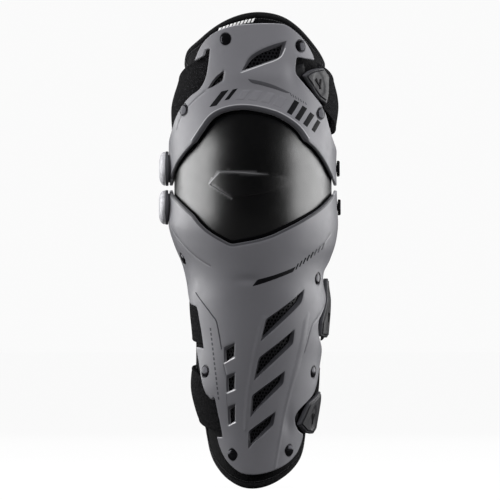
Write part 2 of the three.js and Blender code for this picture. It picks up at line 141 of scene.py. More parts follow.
def front(x, z, corner=None, offset=0.0):
    """The leg's domain point seen at x, z from the front, for a layer at an offset."""
    middle = (station(1, z) + station(2, z)) / 2
    half = (station(2, z) - station(1, z)) / 2 + offset
    u = ROUND * math.asin(max(-1, min(1, (x - middle) / half)))
    return (u, z, corner)


def flank(side, y, z, corner=None, offset=0.0):
    """The leg's domain point seen at y, z from the side: 1 is the right, -1 the left."""
    depth = (station(3, z) if y < 0 else station(4, z)) + offset
    u = side * ROUND * math.acos(max(-1, min(1, -y / depth)))
    return (u, z, corner)


def fronts(*places, offset=0.0):
    return [front(*place, offset=offset) for place in places]


def flanks(side, *places, offset=0.0):
    return [flank(side, *place, offset=offset) for place in places]


def dome(u, v, offset=0.0):
    """Points on the knee cup: two arcs round the hinge axes joined by a straight, at every x."""
    alpha = np.asarray(u, float) / CUP_HALF
    v = np.asarray(v, float)
    radius = (CUP_DEPTH + offset) * np.cos(alpha)
    beyond = np.maximum(np.abs(v) - PIVOT_Z, 0) / CUP_DEPTH
    swell = CUP_SWELL * np.sin(alpha) ** 4 if offset >= 0 else 0
    x = CUP_MIDDLE + (CUP_HALF + offset + swell) * np.sin(alpha)
    y = -radius * np.cos(beyond)
    z = np.clip(v, -PIVOT_Z, PIVOT_Z) + np.sign(v) * radius * np.sin(beyond)
    return np.stack([x, y, z], axis=-1)


def on_cup(x, z, corner=None):
    """The dome's domain point seen at x, z from the front."""
    alpha = math.asin((x - CUP_MIDDLE) / CUP_HALF)
    radius = CUP_DEPTH * math.cos(alpha)
    v = z
    if abs(z) > PIVOT_Z:
        v = math.copysign(PIVOT_Z + CUP_DEPTH * math.asin((abs(z) - PIVOT_Z) / radius), z)
    return (alpha * CUP_HALF, v, corner)


def wing(side):
    """The cup's surface over one side wing, drawn as it is seen from that side."""
    def points(y, z, offset=0.0):
        y = np.asarray(y, float)
        z = np.asarray(z, float)
        along = np.clip(z, -PIVOT_Z, PIVOT_Z)
        away = np.hypot(y, z - along)
        share = np.clip(away / (CUP_DEPTH + offset), 0, 1)
        fade = 1 - ramp(y, *SWELL_ENDS) if offset >= 0 else 0
        swell = CUP_SWELL * (1 - share ** 2) ** 2 * fade
        x = CUP_MIDDLE + side * (CUP_HALF + offset + swell) * np.sqrt(1 - share ** 2)
        return np.stack([x, y, z], axis=-1)
    return points


def normals(surface, u, v, offset=0.0):
    """Unit normals of a surface, pointing out."""
    step = 0.4
    across = surface(u + step, v, offset) - surface(u - step, v, offset)
    along = surface(u, v + step, offset) - surface(u, v - step, offset)
    out = np.cross(across, along)
    return out / np.linalg.norm(out, axis=-1, keepdims=True)


# ---- outlines ----
def left_of(forward):
    """Unit vectors to the left of a path's directions."""
    left = np.stack([-forward[:, 1], forward[:, 0]], axis=1)
    return left / np.linalg.norm(left, axis=1, keepdims=True)


def round_path(path):
    """The direction at each point of a closed path."""
    return np.roll(path, -1, axis=0) - np.roll(path, 1, axis=0)


def curve(points, spacing=1.2, closed=True):
    """A path through control points. A plain point bends smoothly; a third value is a corner's size."""
    spots = [np.array(p[:2], float) for p in points]
    corners = [p[2] if len(p) > 2 else None for p in points]
    count = len(spots)
    path = []

    def line_to(end):
        if path:
            start = path[-1]
            steps = max(1, round(np.linalg.norm(end - start) / spacing))
            path.extend(start + (end - start) * k / steps for k in range(1, steps + 1))
        else:
            path.append(end)

    for i, here in enumerate(spots):
        if not closed and i in (0, count - 1):
            line_to(here)
            continue
        before = spots[i - 1] - here
        after = spots[(i + 1) % count] - here
        size = 1e9 if corners[i] is None else corners[i]
        enter = here + before * min(0.5, size / np.linalg.norm(before))
        leave = here + after * min(0.5, size / np.linalg.norm(after))
        line_to(enter)
        length = np.linalg.norm(enter - here) + np.linalg.norm(leave - here)
        steps = max(2, round(length / spacing))
        for k in range(1, steps + 1):
            t = k / steps
            path.append((1 - t) ** 2 * enter + 2 * t * (1 - t) * here + t * t * leave)
    if closed:
        line_to(path[0])
    path = np.array(path)
    keep = np.ones(len(path), bool)
    keep[1:] = np.linalg.norm(np.diff(path, axis=0), axis=1) > 0.05
    path = path[keep]
    if closed and np.linalg.norm(path[0] - path[-1]) < 0.05:
        path = path[:-1]
    return path


def open_curve(points, spacing=1.2):
    return curve(points, spacing, closed=False)


def circle(middle, radius, spacing=1.0):
    count = max(16, round(2 * math.pi * radius / spacing))
    angles = np.linspace(0, 2 * math.pi, count, endpoint=False)
    return np.stack([middle[0] + radius * np.cos(angles), middle[1] + radius * np.sin(angles)], axis=1)


def distance(points, path, closed=True):
    """How far each point is from a path."""
    starts = path if closed else path[:-1]
    ends = np.roll(path, -1, axis=0) if closed else path[1:]
    spans = ends - starts
    squares = np.maximum((spans ** 2).sum(axis=1), 1e-12)
    best = np.empty(len(points))
    chunk = 4000
    for first in range(0, len(points), chunk):
        some = points[first:first + chunk, None, :] - starts[None]
        t = np.clip((some * spans).sum(axis=2) / squares, 0, 1)
        gap = some - t[..., None] * spans
        best[first:first + chunk] = np.sqrt((gap ** 2).sum(axis=2).min(axis=1))
    return best


def inside(points, path):
    """Which points are inside a closed path."""
    result = np.zeros(len(points), bool)
    ends = np.roll(path, -1, axis=0)
    chunk = 4000
    for first in range(0, len(points), chunk):
        some = points[first:first + chunk]
        u = some[:, 0:1]
        v = some[:, 1:2]
        straddles = (path[:, 1] > v) != (ends[:, 1] > v)
        rise = ends[:, 1] - path[:, 1]
        rise = np.where(rise == 0, 1e-12, rise)
        crossing = path[:, 0] + (v - path[:, 1]) * (ends[:, 0] - path[:, 0]) / rise
        result[first:first + chunk] = ((u < crossing) & straddles).sum(axis=1) % 2 == 1
    return result


def depth_in(points, path):
    """Distance inside a closed path: positive inside it, negative outside."""
    return np.where(inside(points, path), 1, -1) * distance(points, path)


def ramp(value, low, high):
    """0 below low, 1 above high, and smooth between."""
    t = np.clip((value - low) / (high - low), 0, 1)
    return t * t * (3 - 2 * t)


# ---- sheets: triangulated areas of a domain ----
EDGE_RINGS = (0.2, 0.5, 0.9, 1.6)  # distances of the rings of points along every edge
RING_SLACK = 0.93  # the share of its distance that a ring's point keeps from every other edge
CLOSEST = 0.18  # no added point lies nearer than this to an outline's or line's point


class Sheet:
    """A triangulated area: its points, triangles, and each point's distance from the area's edge.

    The outline, the holes and the lines are kept as edges. Rings of points follow every edge, and a
    grid of equal triangles fills the rest.
    """

    def __init__(self, outline, holes=(), lines=(), spacing=2.4, rings=EDGE_RINGS):
        self.loops = [outline, *holes]
        fixed, edges = self.fixed_points(lines)
        tree = KDTree(len(fixed))
        for index, spot in enumerate(fixed):
            tree.insert((*spot, 0), index)
        tree.balance()

        def clear_of_fixed(points, gap):
            return np.array([tree.find((u, v, 0))[2] > gap for u, v in points], bool)

        reach = (rings[-1] if rings else 0) + 0.45 * spacing
        extra = np.concatenate([*self.ring_points(rings), self.grid_points(spacing, reach)])
        extra = extra[self.covers(extra[:, :2])]
        extra = extra[self.edge_distance(extra[:, :2]) > extra[:, 2] * RING_SLACK]
        extra = extra[clear_of_fixed(extra[:, :2], CLOSEST)]
        inner = extra[:, 2] >= reach - 1e-6
        crowded = ~clear_of_fixed(extra[:, :2], 0.5 * spacing)
        extra = extra[~(inner & crowded)]
        spots = [Vector(spot) for spot in np.concatenate([fixed, extra[:, :2]])]
        out = delaunay_2d_cdt(spots, edges, [], 0, 1e-4, False)
        self.points = np.array([tuple(p) for p in out[0]])
        triangles = np.array(out[2])
        self.triangles = triangles[self.covers(self.points[triangles].mean(axis=1))]
        self.edge = self.edge_distance(self.points)

    def fixed_points(self, lines):
        """The points of every outline and line, and the edges between them."""
        fixed = []
        edges = []
        first = 0
        for path, closed in [(p, True) for p in self.loops] + list(lines):
            last = first + len(path) - 1
            fixed.append(path)
            edges += [(k, k + 1) for k in range(first, last)]
            if closed:
                edges.append((last, first))
            first = last + 1
        return np.concatenate(fixed), edges

    def ring_points(self, rings):
        """Points along both sides of every loop, each with its distance from the loop."""
        for loop in self.loops:
            sideways = left_of(round_path(loop))
            for ring in rings:
                away = np.full((len(loop), 1), ring)
                for sign in (1, -1):
                    yield np.append(loop + sign * ring * sideways, away, axis=1)

    def grid_points(self, spacing, reach):
        """A triangular grid over the outline's box, with its least distance from an edge."""
        low = self.loops[0].min(axis=0)
        high = self.loops[0].max(axis=0)
        rows = np.arange(low[1], high[1], spacing * math.sqrt(3) / 2)
        grid_u, grid_v = np.meshgrid(np.arange(low[0], high[0], spacing), rows)
        grid_u = grid_u + (np.arange(len(rows)) % 2)[:, None] * spacing / 2
        return np.stack([grid_u.ravel(), grid_v.ravel(), np.full(grid_u.size, reach)], axis=1)

    def covers(self, points):
        result = inside(points, self.loops[0])
        for hole in self.loops[1:]:
            result &= ~inside(points, hole)
        return result

    def edge_distance(self, points):
        return np.min([distance(points, loop) for loop in self.loops], axis=0)


def make_object(name, points, faces, attributes=None, sharp_angle=38):
    mesh = bpy.data.meshes.new(name)
    mesh.from_pydata(world(points).tolist(), [], [list(map(int, f)) for f in faces])
    for label, values in (attributes or {}).items():
        layer = mesh.attributes.new(label, "FLOAT", "POINT")
        layer.data.foreach_set("value", np.asarray(values, np.float32))
    mesh.shade_smooth()
    mesh.set_sharp_from_angle(angle=math.radians(sharp_angle))
    mesh.update()
    piece = bpy.data.objects.new(name, mesh)
    bpy.context.scene.collection.objects.link(piece)
    return piece


def finish(piece, body, slot, material, *nodes):
    piece.data.materials.append(material)
    if body:
        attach(piece, body)
    if nodes:
        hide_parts(*nodes)
    return piece


def rounding(edge, radius):
    """How far a rounded edge drops below its face."""
    inset = np.clip(radius - edge, 0, radius)
    return radius - np.sqrt(np.maximum(radius ** 2 - inset ** 2, 0))


def boundary_edges(triangles):
    """The directed edges that only one triangle uses."""
    directed = np.concatenate([triangles[:, [0, 1]], triangles[:, [1, 2]], triangles[:, [2, 0]]])
    seen = {(int(a), int(b)) for a, b in directed}
    return [(a, b) for a, b in seen if (b, a) not in seen]


def thicken(outer, inner, triangles):
    """A closed solid between two copies of a sheet, with walls along its edges."""
    used = np.unique(triangles)
    number = np.full(len(outer), -1)
    number[used] = np.arange(len(used))
    triangles = number[triangles]
    count = len(used)
    faces = triangles.tolist()
    faces += (triangles[:, ::-1] + count).tolist()
    faces += [[b, a, a + count, b + count] for a, b in boundary_edges(triangles)]
    return np.concatenate([outer[used], inner[used]]), faces, used


def plate(name, surface, sheet, low, high, height=0.0, round_out=0.9, round_in=0.4, tones=None):
    """A sheet made solid between two offsets of its surface, with relief on its outer face."""
    u, v = sheet.points.T
    out = normals(surface, u, v, high)
    outer = surface(u, v, high) + out * (height - rounding(sheet.edge, round_out))[:, None]
    inner = surface(u, v, low) + out * rounding(sheet.edge, round_in)[:, None]
    points, faces, used = thicken(outer, inner, sheet.triangles)
    values = {"edge": sheet.edge, **(tones or {})}
    return make_object(name, points, faces, {label: np.tile(v[used], 2) for label, v in values.items()})


# ---- materials ----
def new_material(name):
    made = bpy.data.materials.new(name)
    made.use_nodes = True
    nodes = made.node_tree.nodes
    nodes.clear()
    output = nodes.new("ShaderNodeOutputMaterial")
    shader = nodes.new("ShaderNodeBsdfPrincipled")
    made.node_tree.links.new(shader.outputs[0], output.inputs[0])
    return made, shader


class Builder:
    """Small helpers that add nodes to one material."""

    def __init__(self, name):
        self.material, self.shader = new_material(name)
        self.tree = self.material.node_tree
        self.place = self.add("ShaderNodeTexCoord").outputs["Object"]

    def add(self, kind, **settings):
        made = self.tree.nodes.new(kind)
        for key, value in settings.items():
            setattr(made, key, value)
        return made

    def feed(self, socket, value):
        if isinstance(value, bpy.types.NodeSocket):
            self.tree.links.new(value, socket)
        elif isinstance(value, tuple):
            socket.default_value = (*value, 1)
        else:
            socket.default_value = value

    def feed_all(self, node, *values):
        for socket, value in zip(node.inputs, values):
            self.feed(socket, value)
        return node.outputs[0]

    def noise(self, scale, detail=4.0, roughness=0.6):
        made = self.add("ShaderNodeTexNoise")
        self.feed(made.inputs["Vector"], self.place)
        self.feed(made.inputs["Scale"], scale)
        self.feed(made.inputs["Detail"], detail)
        self.feed(made.inputs["Roughness"], roughness)
        return made.outputs[0]

    def cells(self, scale, place=None):
        made = self.add("ShaderNodeTexVoronoi")
        self.feed(made.inputs["Vector"], place or self.place)
        self.feed(made.inputs["Scale"], scale)
        return made.outputs["Distance"]

    def attribute(self, name):
        return self.add("ShaderNodeAttribute", attribute_name=name).outputs["Fac"]

    def maths(self, operation, a, b=0.0, c=0.0):
        return self.feed_all(self.add("ShaderNodeMath", operation=operation), a, b, c)

    def remap(self, value, a, b, c, d):
        """Turns the range a to b into the range c to d."""
        return self.feed_all(self.add("ShaderNodeMapRange"), value, a, b, c, d)

    def uneven(self, scale, detail, low, high):
        """Noise spread over the range from low to high."""
        return self.remap(self.noise(scale, detail), 0.3, 0.7, low, high)

    def edge_wear_and_highlight(self, width, strength):
        """Strength at a piece's edge, fading to nothing at a width: worn edges, and on the knee cup
        painted highlights.
        """
        return self.remap(self.attribute("edge"), 0.0, width, strength, 0.0)

    def mix(self, factor, a, b):
        made = self.add("ShaderNodeMix", data_type="RGBA")
        self.feed(made.inputs[0], factor)
        self.feed(made.inputs[6], a)
        self.feed(made.inputs[7], b)
        return made.outputs[2]

    def bump(self, height, strength, reach, before=None):
        made = self.add("ShaderNodeBump")
        self.feed(made.inputs["Height"], height)
        made.inputs["Strength"].default_value = strength
        made.inputs["Distance"].default_value = reach
        if before is not None:
            self.feed(made.inputs["Normal"], before)
        return made.outputs[0]

    def set(self, **values):
        names = {
            "colour": "Base Color", "roughness": "Roughness", "metallic": "Metallic",
            "normal": "Normal", "specular": "Specular IOR Level", "sheen": "Sheen Weight",
        }
        for key, value in values.items():
            self.feed(self.shader.inputs[names[key]], value)
        return self.material


def shell_plastic():
    """Satin moulded plastic with edges rubbed lighter, painted shade on its lips, pockets, creases and
    rivet seats, and painted highlights along some edges.
    """
    b = Builder("grey_shell_plastic")
    drift = b.noise(14, 3)
    mottle = b.noise(240, 5)
    colour = b.mix(drift, (0.148, 0.147, 0.162), (0.180, 0.179, 0.194))
    colour = b.mix(b.maths("MULTIPLY", mottle, 0.16), colour, (0.10, 0.10, 0.11))
    scuffed = b.maths("MULTIPLY", b.edge_wear_and_highlight(0.6, 0.9), b.remap(mottle, 0.35, 0.65, 0.5, 1.0))
    colour = b.mix(scuffed, colour, (0.60, 0.60, 0.63))
    # Painted shade on lips, pockets, creases and rivet seats, then painted highlights along some edges.
    colour = b.mix(b.attribute("painted_shade"), colour, (0.022, 0.022, 0.026))
    colour = b.mix(b.attribute("light"), colour, (0.80, 0.80, 0.82))
    normal = b.bump(b.cells(1900), 0.25, 0.00012)
    normal = b.bump(b.noise(60, 2), 0.10, 0.0006, normal)
    return b.set(colour=colour, roughness=b.uneven(90, 6, 0.36, 0.50), normal=normal, specular=0.5)


def cup_plastic():
    """Near-black plastic with a fine leather-like grain, and painted highlights along the emblem's left
    edges.
    """
    b = Builder("black_cup_plastic")
    normal = b.bump(b.cells(1300), 0.35, 0.00016)
    normal = b.bump(b.noise(2600, 3), 0.25, 0.00008, normal)
    # On the cup the edge attribute carries only the painted highlights on the emblem's edges.
    colour = b.mix(b.edge_wear_and_highlight(1.0, 0.8), (0.0012, 0.0012, 0.0015), (0.42, 0.42, 0.44))
    return b.set(colour=colour, roughness=b.uneven(120, 5, 0.31, 0.38), normal=normal, specular=1.0)


def clip_plastic():
    """Charcoal moulded plastic with rubbed edges."""
    b = Builder("charcoal_clip_plastic")
    colour = b.mix(b.noise(300, 4), (0.010, 0.010, 0.012), (0.016, 0.016, 0.019))
    colour = b.mix(b.edge_wear_and_highlight(0.8, 0.6), colour, (0.09, 0.09, 0.10))
    normal = b.bump(b.cells(1800), 0.3, 0.00012)
    return b.set(colour=colour, roughness=b.uneven(200, 5, 0.36, 0.52), normal=normal, specular=0.32)


def knit_fabric(name, colour, light, scale=1.0):
    """Closely knitted cloth: small loops in rows, with lint and slight fading."""
    b = Builder(name)
    stretch = b.add("ShaderNodeMapping")
    b.feed(stretch.inputs["Vector"], b.place)
    stretch.inputs["Scale"].default_value = (1.0, 1.0, 0.6)
    loops = b.cells(1050 * scale, stretch.outputs[0])
    lint = b.remap(b.noise(700, 6, 0.7), 0.35, 0.75, 0.3, 1.0)
    shade = b.maths("MULTIPLY", b.remap(loops, 0.0, 0.7, 1.0, 0.1), lint)
    normal = b.bump(loops, 0.9, 0.0006)
    normal = b.bump(b.noise(160, 3), 0.3, 0.0012, normal)
    return b.set(colour=b.mix(shade, colour, light), roughness=0.9, normal=normal, sheen=0.02,
                 specular=0.12)


def webbing():
    """Elastic webbing: ribs along the strap crossed by fine weft threads."""
    b = Builder("elastic_webbing_weave")

    def wave(value, pitch, shift=0.0):
        phase = b.maths("MULTIPLY", value, 2 * math.pi / pitch)
        return b.maths("SINE", b.maths("ADD", phase, shift))

    rib = wave(b.attribute("across"), 1.9)
    weft = wave(b.attribute("along"), 1.1, b.maths("MULTIPLY", rib, 1.4))
    height = b.maths("MULTIPLY_ADD", weft, 0.5, rib)
    speckle = b.remap(b.noise(520, 6, 0.75), 0.42, 0.72, 0.0, 1.0)
    shade = b.maths("MULTIPLY", b.remap(height, -1.2, 1.2, 0.15, 1.0), speckle)
    tone = b.mix(shade, (0.0015, 0.0015, 0.0020), (0.006, 0.006, 0.007))
    flecks = b.remap(b.noise(900, 2, 0.5), 0.57, 0.66, 0.0, 0.85)
    tone = b.mix(flecks, tone, (0.036, 0.036, 0.040))
    return b.set(colour=tone, roughness=0.85, normal=b.bump(height, 0.7, 0.00035), specular=0.10)


def gunmetal():
    """Dark turned steel with faint tarnish."""
    b = Builder("dark_steel_metal")
    tarnish = b.noise(400, 6)
    colour = b.mix(tarnish, (0.014, 0.014, 0.017), (0.034, 0.034, 0.038))
    normal = b.bump(b.noise(1500, 3), 0.12, 0.0001)
    rough = b.remap(tarnish, 0.3, 0.7, 0.12, 0.22)
    return b.set(colour=colour, roughness=rough, normal=normal, metallic=0.85)


def ink(name, colour, faded, roughness, specular=0.15):
    """Pad-printed ink, slightly worn through."""
    b = Builder(name)
    tone = b.mix(b.remap(b.noise(500, 6, 0.7), 0.55, 0.8, 0.0, 0.5), colour, faded)
    return b.set(colour=tone, roughness=roughness, normal=b.bump(b.noise(1200, 2), 0.1, 0.0001),
                 specular=specular)


def mesh_plastic():
    b = Builder("vent_mesh_plastic")
    tone = b.mix(b.noise(900, 3), (0.004, 0.004, 0.005), (0.010, 0.010, 0.012))
    return b.set(colour=tone, roughness=0.42, normal=b.bump(b.noise(1500, 3), 0.2, 0.0001))


def thread():
    b = Builder("stitching_thread")
    tone = b.mix(b.noise(2500, 2), (0.03, 0.03, 0.034), (0.09, 0.09, 0.095))
    return b.set(colour=tone, roughness=0.6, normal=b.bump(b.noise(5000, 2), 0.4, 0.0001))


GREY = shell_plastic()
BLACK = cup_plastic()
CHARCOAL = clip_plastic()
FABRIC = knit_fabric("black_knit_fabric", (0.0025, 0.0025, 0.003), (0.012, 0.012, 0.013))
BINDING = knit_fabric("binding_tape_fabric", (0.005, 0.005, 0.0055), (0.026, 0.026, 0.028), 1.5)
WEBBING = webbing()
STEEL = gunmetal()
INK = ink("black_ink", (0.004, 0.004, 0.005), (0.02, 0.02, 0.022), 0.6)
GLOSS_INK = ink("gloss_ink", (0.175, 0.174, 0.190), (0.150, 0.150, 0.163), 0.16, 0.8)
SOFT_INK = ink("grey_ink", (0.062, 0.062, 0.069), (0.10, 0.10, 0.105), 0.45)
PALE_INK = ink("pale_ink", (0.80, 0.80, 0.80), (0.45, 0.45, 0.45), 0.5)
# Matte black rubber for the seals: painted shade in the gap between the shells and the cup.
SHADE_SEAL_RUBBER = ink("shade_seal_rubber", (0.0025, 0.0025, 0.003), (0.005, 0.005, 0.006), 0.75, 0.06)
MESH = mesh_plastic()
THREAD = thread()


# ---- rivet places, as x, z seen from the front ----
THIGH_RIVETS = {
    "upper_left": (-24.6, 148.8), "upper_right": (50.7, 142),
    "lower_left": (-66.7, 78.2), "lower_right": (71.2, 74.5),
}
SHIN_RIVETS = {
    "upper_left": (-67.5, -71.7), "upper_right": (68.2, -91.5),
    "middle_left": (-45, -184.4), "middle_right": (63.8, -185.1),
    "lower_left": (-17.6, -267.7), "lower_right": (39.3, -263.6),
}


def ear(side, up, start, end, radius=17.5, steps=9):
    """A shell's end round its pivot, as domain points from one angle to another."""
    points = []
    for angle in np.radians(np.linspace(start, end, steps)):
        y = radius * math.cos(angle)
        z = up * (PIVOT_Z + radius * math.sin(angle))
        points.append(flank(side, y, z))
    return points


# ---- relief on the shells ----
CRISP = 0.4  # over this width the painted shade on a bevel fades in
SEAT_RADIUS = 6.9  # the sunk seats round the rivets
SEAT_DEPTH = 0.8
SEAT_SLOPE = 0.7
# How strong the painted shade inside the rivet seats is
SEAT_PAINTED_SHADE = 0.9
RIVET_HOLE = 3.0
BOLT_HOLE = 6.6
FINE = 0.8  # point spacing of small outlines


class Relief:
    """Collects a shell's raised and sunk features, then gives its heights, its painted shade and its
    painted highlights.
    """

    def __init__(self):
        self.lines = []
        self.steps = []
        self.glints = []

    def line(self, path, closed=False):
        self.lines.append((path, closed))

    def both_sides(self, path, width):
        self.line(offset_path(path, width))
        self.line(offset_path(path, -width))

    def pocket(self, rim, hole, depth, painted_shade):
        """Slopes from a rim down to the edge of a hole inside it, with painted shade on them."""
        self.line(rim, True)
        self.line(shrunk(rim, CRISP), True)

        def height(points):
            outer = depth_in(points, rim)
            inset = np.clip(outer, 0, None)
            share = inset / np.maximum(inset + distance(points, hole), 1e-6)
            return -depth * share, painted_shade * ramp(outer, 0, CRISP)
        self.steps.append(height)

    def groove(self, path, width, depth, painted_shade):
        """A V-shaped crease, with painted shade in it."""
        self.line(path)
        self.both_sides(path, width / 2)

        def height(points):
            share = np.clip(1 - distance(points, path, False) / (width / 2), 0, 1)
            return -depth * share, painted_shade * share
        self.steps.append(height)

    def terrace(self, path, rise, width):
        """A raised area, with a slope of the given width inside its edge."""
        self.line(path, True)
        self.line(shrunk(path, width), True)

        def height(points):
            deep = depth_in(points, path)
            return rise * np.clip(deep / width, 0, 1), 0 * deep
        self.steps.append(height)

    def rivet_seat(self, middle):
        """A shallow round seat, with painted shade inside."""
        self.line(circle(middle, SEAT_RADIUS), True)
        self.line(circle(middle, SEAT_RADIUS - SEAT_SLOPE), True)

        def height(points):
            away = np.linalg.norm(points - middle, axis=1)
            share = np.clip((SEAT_RADIUS - away) / SEAT_SLOPE, 0, 1)
            return -SEAT_DEPTH * share, SEAT_PAINTED_SHADE * share
        self.steps.append(height)

    def swell(self, x, z, size, rise):
        """A soft bulge or hollow."""
        middle = front(x, z)[:2]

        def height(points):
            away = np.hypot(*((points - middle) / size).T)
            return rise * np.exp(-away ** 2), 0 * away
        self.steps.append(height)

    def edge_lip(self, path, width, drop, painted_shade):
        """A bevel along one stretch of the shell's edge, with painted shade on it."""
        for amount in (width, width - CRISP):
            self.line(clear_part(offset_path(path, -amount), path, amount))

        def height(points):
            away = distance(points, path, False)
            return -drop * np.clip(1 - away / width, 0, 1), painted_shade * ramp(width - away, 0, CRISP)
        self.steps.append(height)

    def glint(self, path, width, strength):
        """A thin painted highlight along a moulded edge."""
        self.both_sides(path, width)
        self.line(path)
        self.glints.append((path, width, strength))

    def brightness(self, points):
        total = np.zeros(len(points))
        for path, width, strength in self.glints:
            total = np.maximum(total, near(points, path, width, strength))
        return total

    def apply(self, points):
        total = np.zeros(len(points))
        # tone gathers the painted shade of every feature, the strongest where they overlap.
        tone = np.zeros(len(points))
        for step in self.steps:
            height, painted_shade = step(points)
            total += height
            tone = np.maximum(tone, painted_shade)
        return total, tone


def near(points, path, width, strength):
    """A strength on an open path that falls to nothing at a width from it."""
    return strength * np.clip(1 - distance(points, path, False) / width, 0, 1)


def offset_path(path, amount):
    """An open path moved sideways, to the left of its direction."""
    return path + amount * left_of(np.gradient(path, axis=0))


def clear_part(moved, path, amount):
    """The points of an offset path that stayed clear of the open path, without its folds."""
    return moved[distance(moved, path, False) > 0.97 * abs(amount)]


def make_shell(name, body, outline, holes, relief, rivets, pivot_z):
    for x, z in rivets.values():
        middle = front(x, z)[:2]
        relief.rivet_seat(middle)
        holes.append(circle(middle, RIVET_HOLE))
    for side in (1, -1):
        holes.append(circle(flank(side, 0, pivot_z), BOLT_HOLE))
    sheet = Sheet(outline, holes, relief.lines)
    height, painted_shade = relief.apply(sheet.points)
    # The first tone is the painted shade of pockets, creases, lips and rivet seats; light holds the
    # painted highlights.
    tones = {"painted_shade": painted_shade, "light": relief.brightness(sheet.points)}
    finish(plate(name, leg, sheet, -WALL, 0, height, tones=tones), body, "grey_shell", GREY, name)
    return relief


# ---- the thigh shell ----
ARCH = fronts(
    (83.6, 9.5), (76.3, 24.2), (66, 38.8), (55, 47.6, 2), (48.4, 57.9), (36.7, 66.7), (22, 74),
    (-4.4, 79.4), (-24, 77), (-38, 70.5), (-47, 57.9), (-55, 46.2, 2), (-66, 34.5), (-76.3, 19.8),
    (-80, 9.5),
)


def thigh_outline():
    return curve([
        *fronts((-28, 159.2), (-14.7, 162.8), (4.4, 164.4), (29.4, 164.6), (37.5, 162.8), (48.4, 154.5),
                (57.2, 145), (63.1, 134.7), (65, 128, 1.5), (47, 131, 2), (45.5, 117), (48.4, 111),
                (64.6, 92.2), (75, 78.5)),
        *flanks(1, (-36, 63), (-26, 48), (-12, 40.5)), *ear(1, 1, 90, -100), *ARCH,
        *ear(-1, 1, -100, 90), *flanks(-1, (-8, 47), (-21, 55), (-30, 68)),
        *fronts((-69, 81.9), (-60.1, 92.2), (-51.3, 98, 4), (-46.5, 105.4), (-43.3, 114.2),
                (-40.3, 139.6, 1), (-45.5, 137.8, 1.5), (-47, 131.8, 2), (-56, 127.2, 1),
                (-52.8, 136.2), (-46.9, 146.5), (-37.5, 154.9)),
    ])


def make_thigh_shell():
    relief = Relief()
    vent_rim = curve(fronts(
        (-8.8, 116.4, 1), (-1.5, 130.3, 5), (7.4, 136.9), (22, 143.2), (37, 147.4, 1),
        (34.5, 139.1, 2), (30.8, 129.6, 2), (14.7, 124.2),
    ))
    vent = curve(fronts(
        (-6.6, 117.2, 0.8), (1.6, 128.6, 4), (9.4, 133.8), (22, 138.7), (33, 142.6, 1),
        (29.6, 130.4, 1.6), (14, 125),
    ))
    small_rim = curve(fronts(
        (-43.2, 98.2, 1), (-37, 109), (-25.2, 118.6, 1), (-26.4, 107.2, 2), (-35, 101.8),
    ))
    small_vent = curve(fronts(
        (-41.2, 99.8, 0.8), (-36, 107.8), (-27, 115.4, 0.8), (-28.2, 107.6, 1.5), (-35, 103.2),
    ))
    # Both vent pockets carry painted shade on their slopes.
    relief.pocket(vent_rim, vent, 2.1, 0.8)
    relief.pocket(small_rim, small_vent, 1.3, 0.7)
    # A painted highlight runs along the big vent's lower edge.
    lower_edge = open_curve(fronts((-8, 115.2), (14.5, 123.4, 4), (31.2, 129.4), (35.4, 139.4)))
    relief.glint(lower_edge, 0.7, 0.75)
    arch = open_curve(ARCH)
    inner_stretch = open_curve(fronts(
        (56, 47.2), (48.4, 57.9), (36.7, 66.7), (22, 74), (-4.4, 79.4), (-24, 77), (-38, 70.5),
        (-47, 57.9), (-55.6, 45.6),
    ))
    # Painted shade on the lips along the arch, with a painted highlight just outside the inner stretch.
    relief.edge_lip(arch, 1.7, 0.9, 0.74)
    relief.edge_lip(inner_stretch, 4.0, 1.3, 0.74)
    relief.glint(offset_path(inner_stretch, -4.6), 0.6, 0.35)
    # The seat that the buckle's catch passes through.
    relief.swell(43, 116, (9, 14), -1.6)
    # A crease with painted shade in it runs from the left rivet down to the hinge, and a soft crown
    # crosses the arch.
    relief.groove(open_curve(fronts((-74, 58), (-71, 68), (-58, 86), (-46, 96))), 1.6, 0.35, 0.2)
    relief.swell(14, 112, (42, 9), 0.9)
    return make_shell("thigh_shell", "thigh", thigh_outline(), [vent, small_vent], relief,
                      THIGH_RIVETS, PIVOT_Z)


# ---- the shin shell ----
VALLEY = fronts(
    (-80.7, -4), (-74.8, -11.1), (-66, -19.9), (-57.2, -27.9, 2), (-47, -40.2), (-36.7, -47.8),
    (-19.1, -57.2, 4), (14.7, -51.2), (36.7, -40.9), (55.8, -30.6, 2), (73.4, -18.9), (84, -7),
)


def shin_outline():
    return curve([
        *VALLEY, *ear(1, -1, -90, 60),
        *flanks(1, (14, -55), (4, -70), (-14, -78), (-25, -84), (-24, -96), (-16, -112),
                (-36, -133, 3), (-36, -141), (-31, -151), (-15, -164)),
        *fronts((70.6, -178.5), (66.8, -200.5), (63.1, -209.3), (54.3, -218.1), (46.6, -226),
                (44.8, -234.3), (48, -243.6), (53.8, -247.7, 1.2), (52.1, -256.3), (47, -268),
                (36.7, -277.8), (22, -284.6), (7.4, -288), (-7.3, -287.4), (-16.5, -281.6),
                (-25, -272.8), (-30.8, -260.7), (-33.4, -250.4, 1), (-27.9, -250.4, 1),
                (-34.5, -213.7), (-36.9, -209.8, 1), (-38.6, -212.8, 1), (-44.7, -206.7),
                (-47.2, -200.5), (-51.3, -178.5), (-54.4, -160, 1), (-46.9, -161.6, 1),
                (-52.8, -123.5, 1.5), (-54, -119.4, 1.5), (-60.4, -116.6, 1.5)),
        *flanks(-1, (-12, -98), (2, -80), (14, -55), (18, -38)), *ear(-1, -1, 40, -90),
    ])


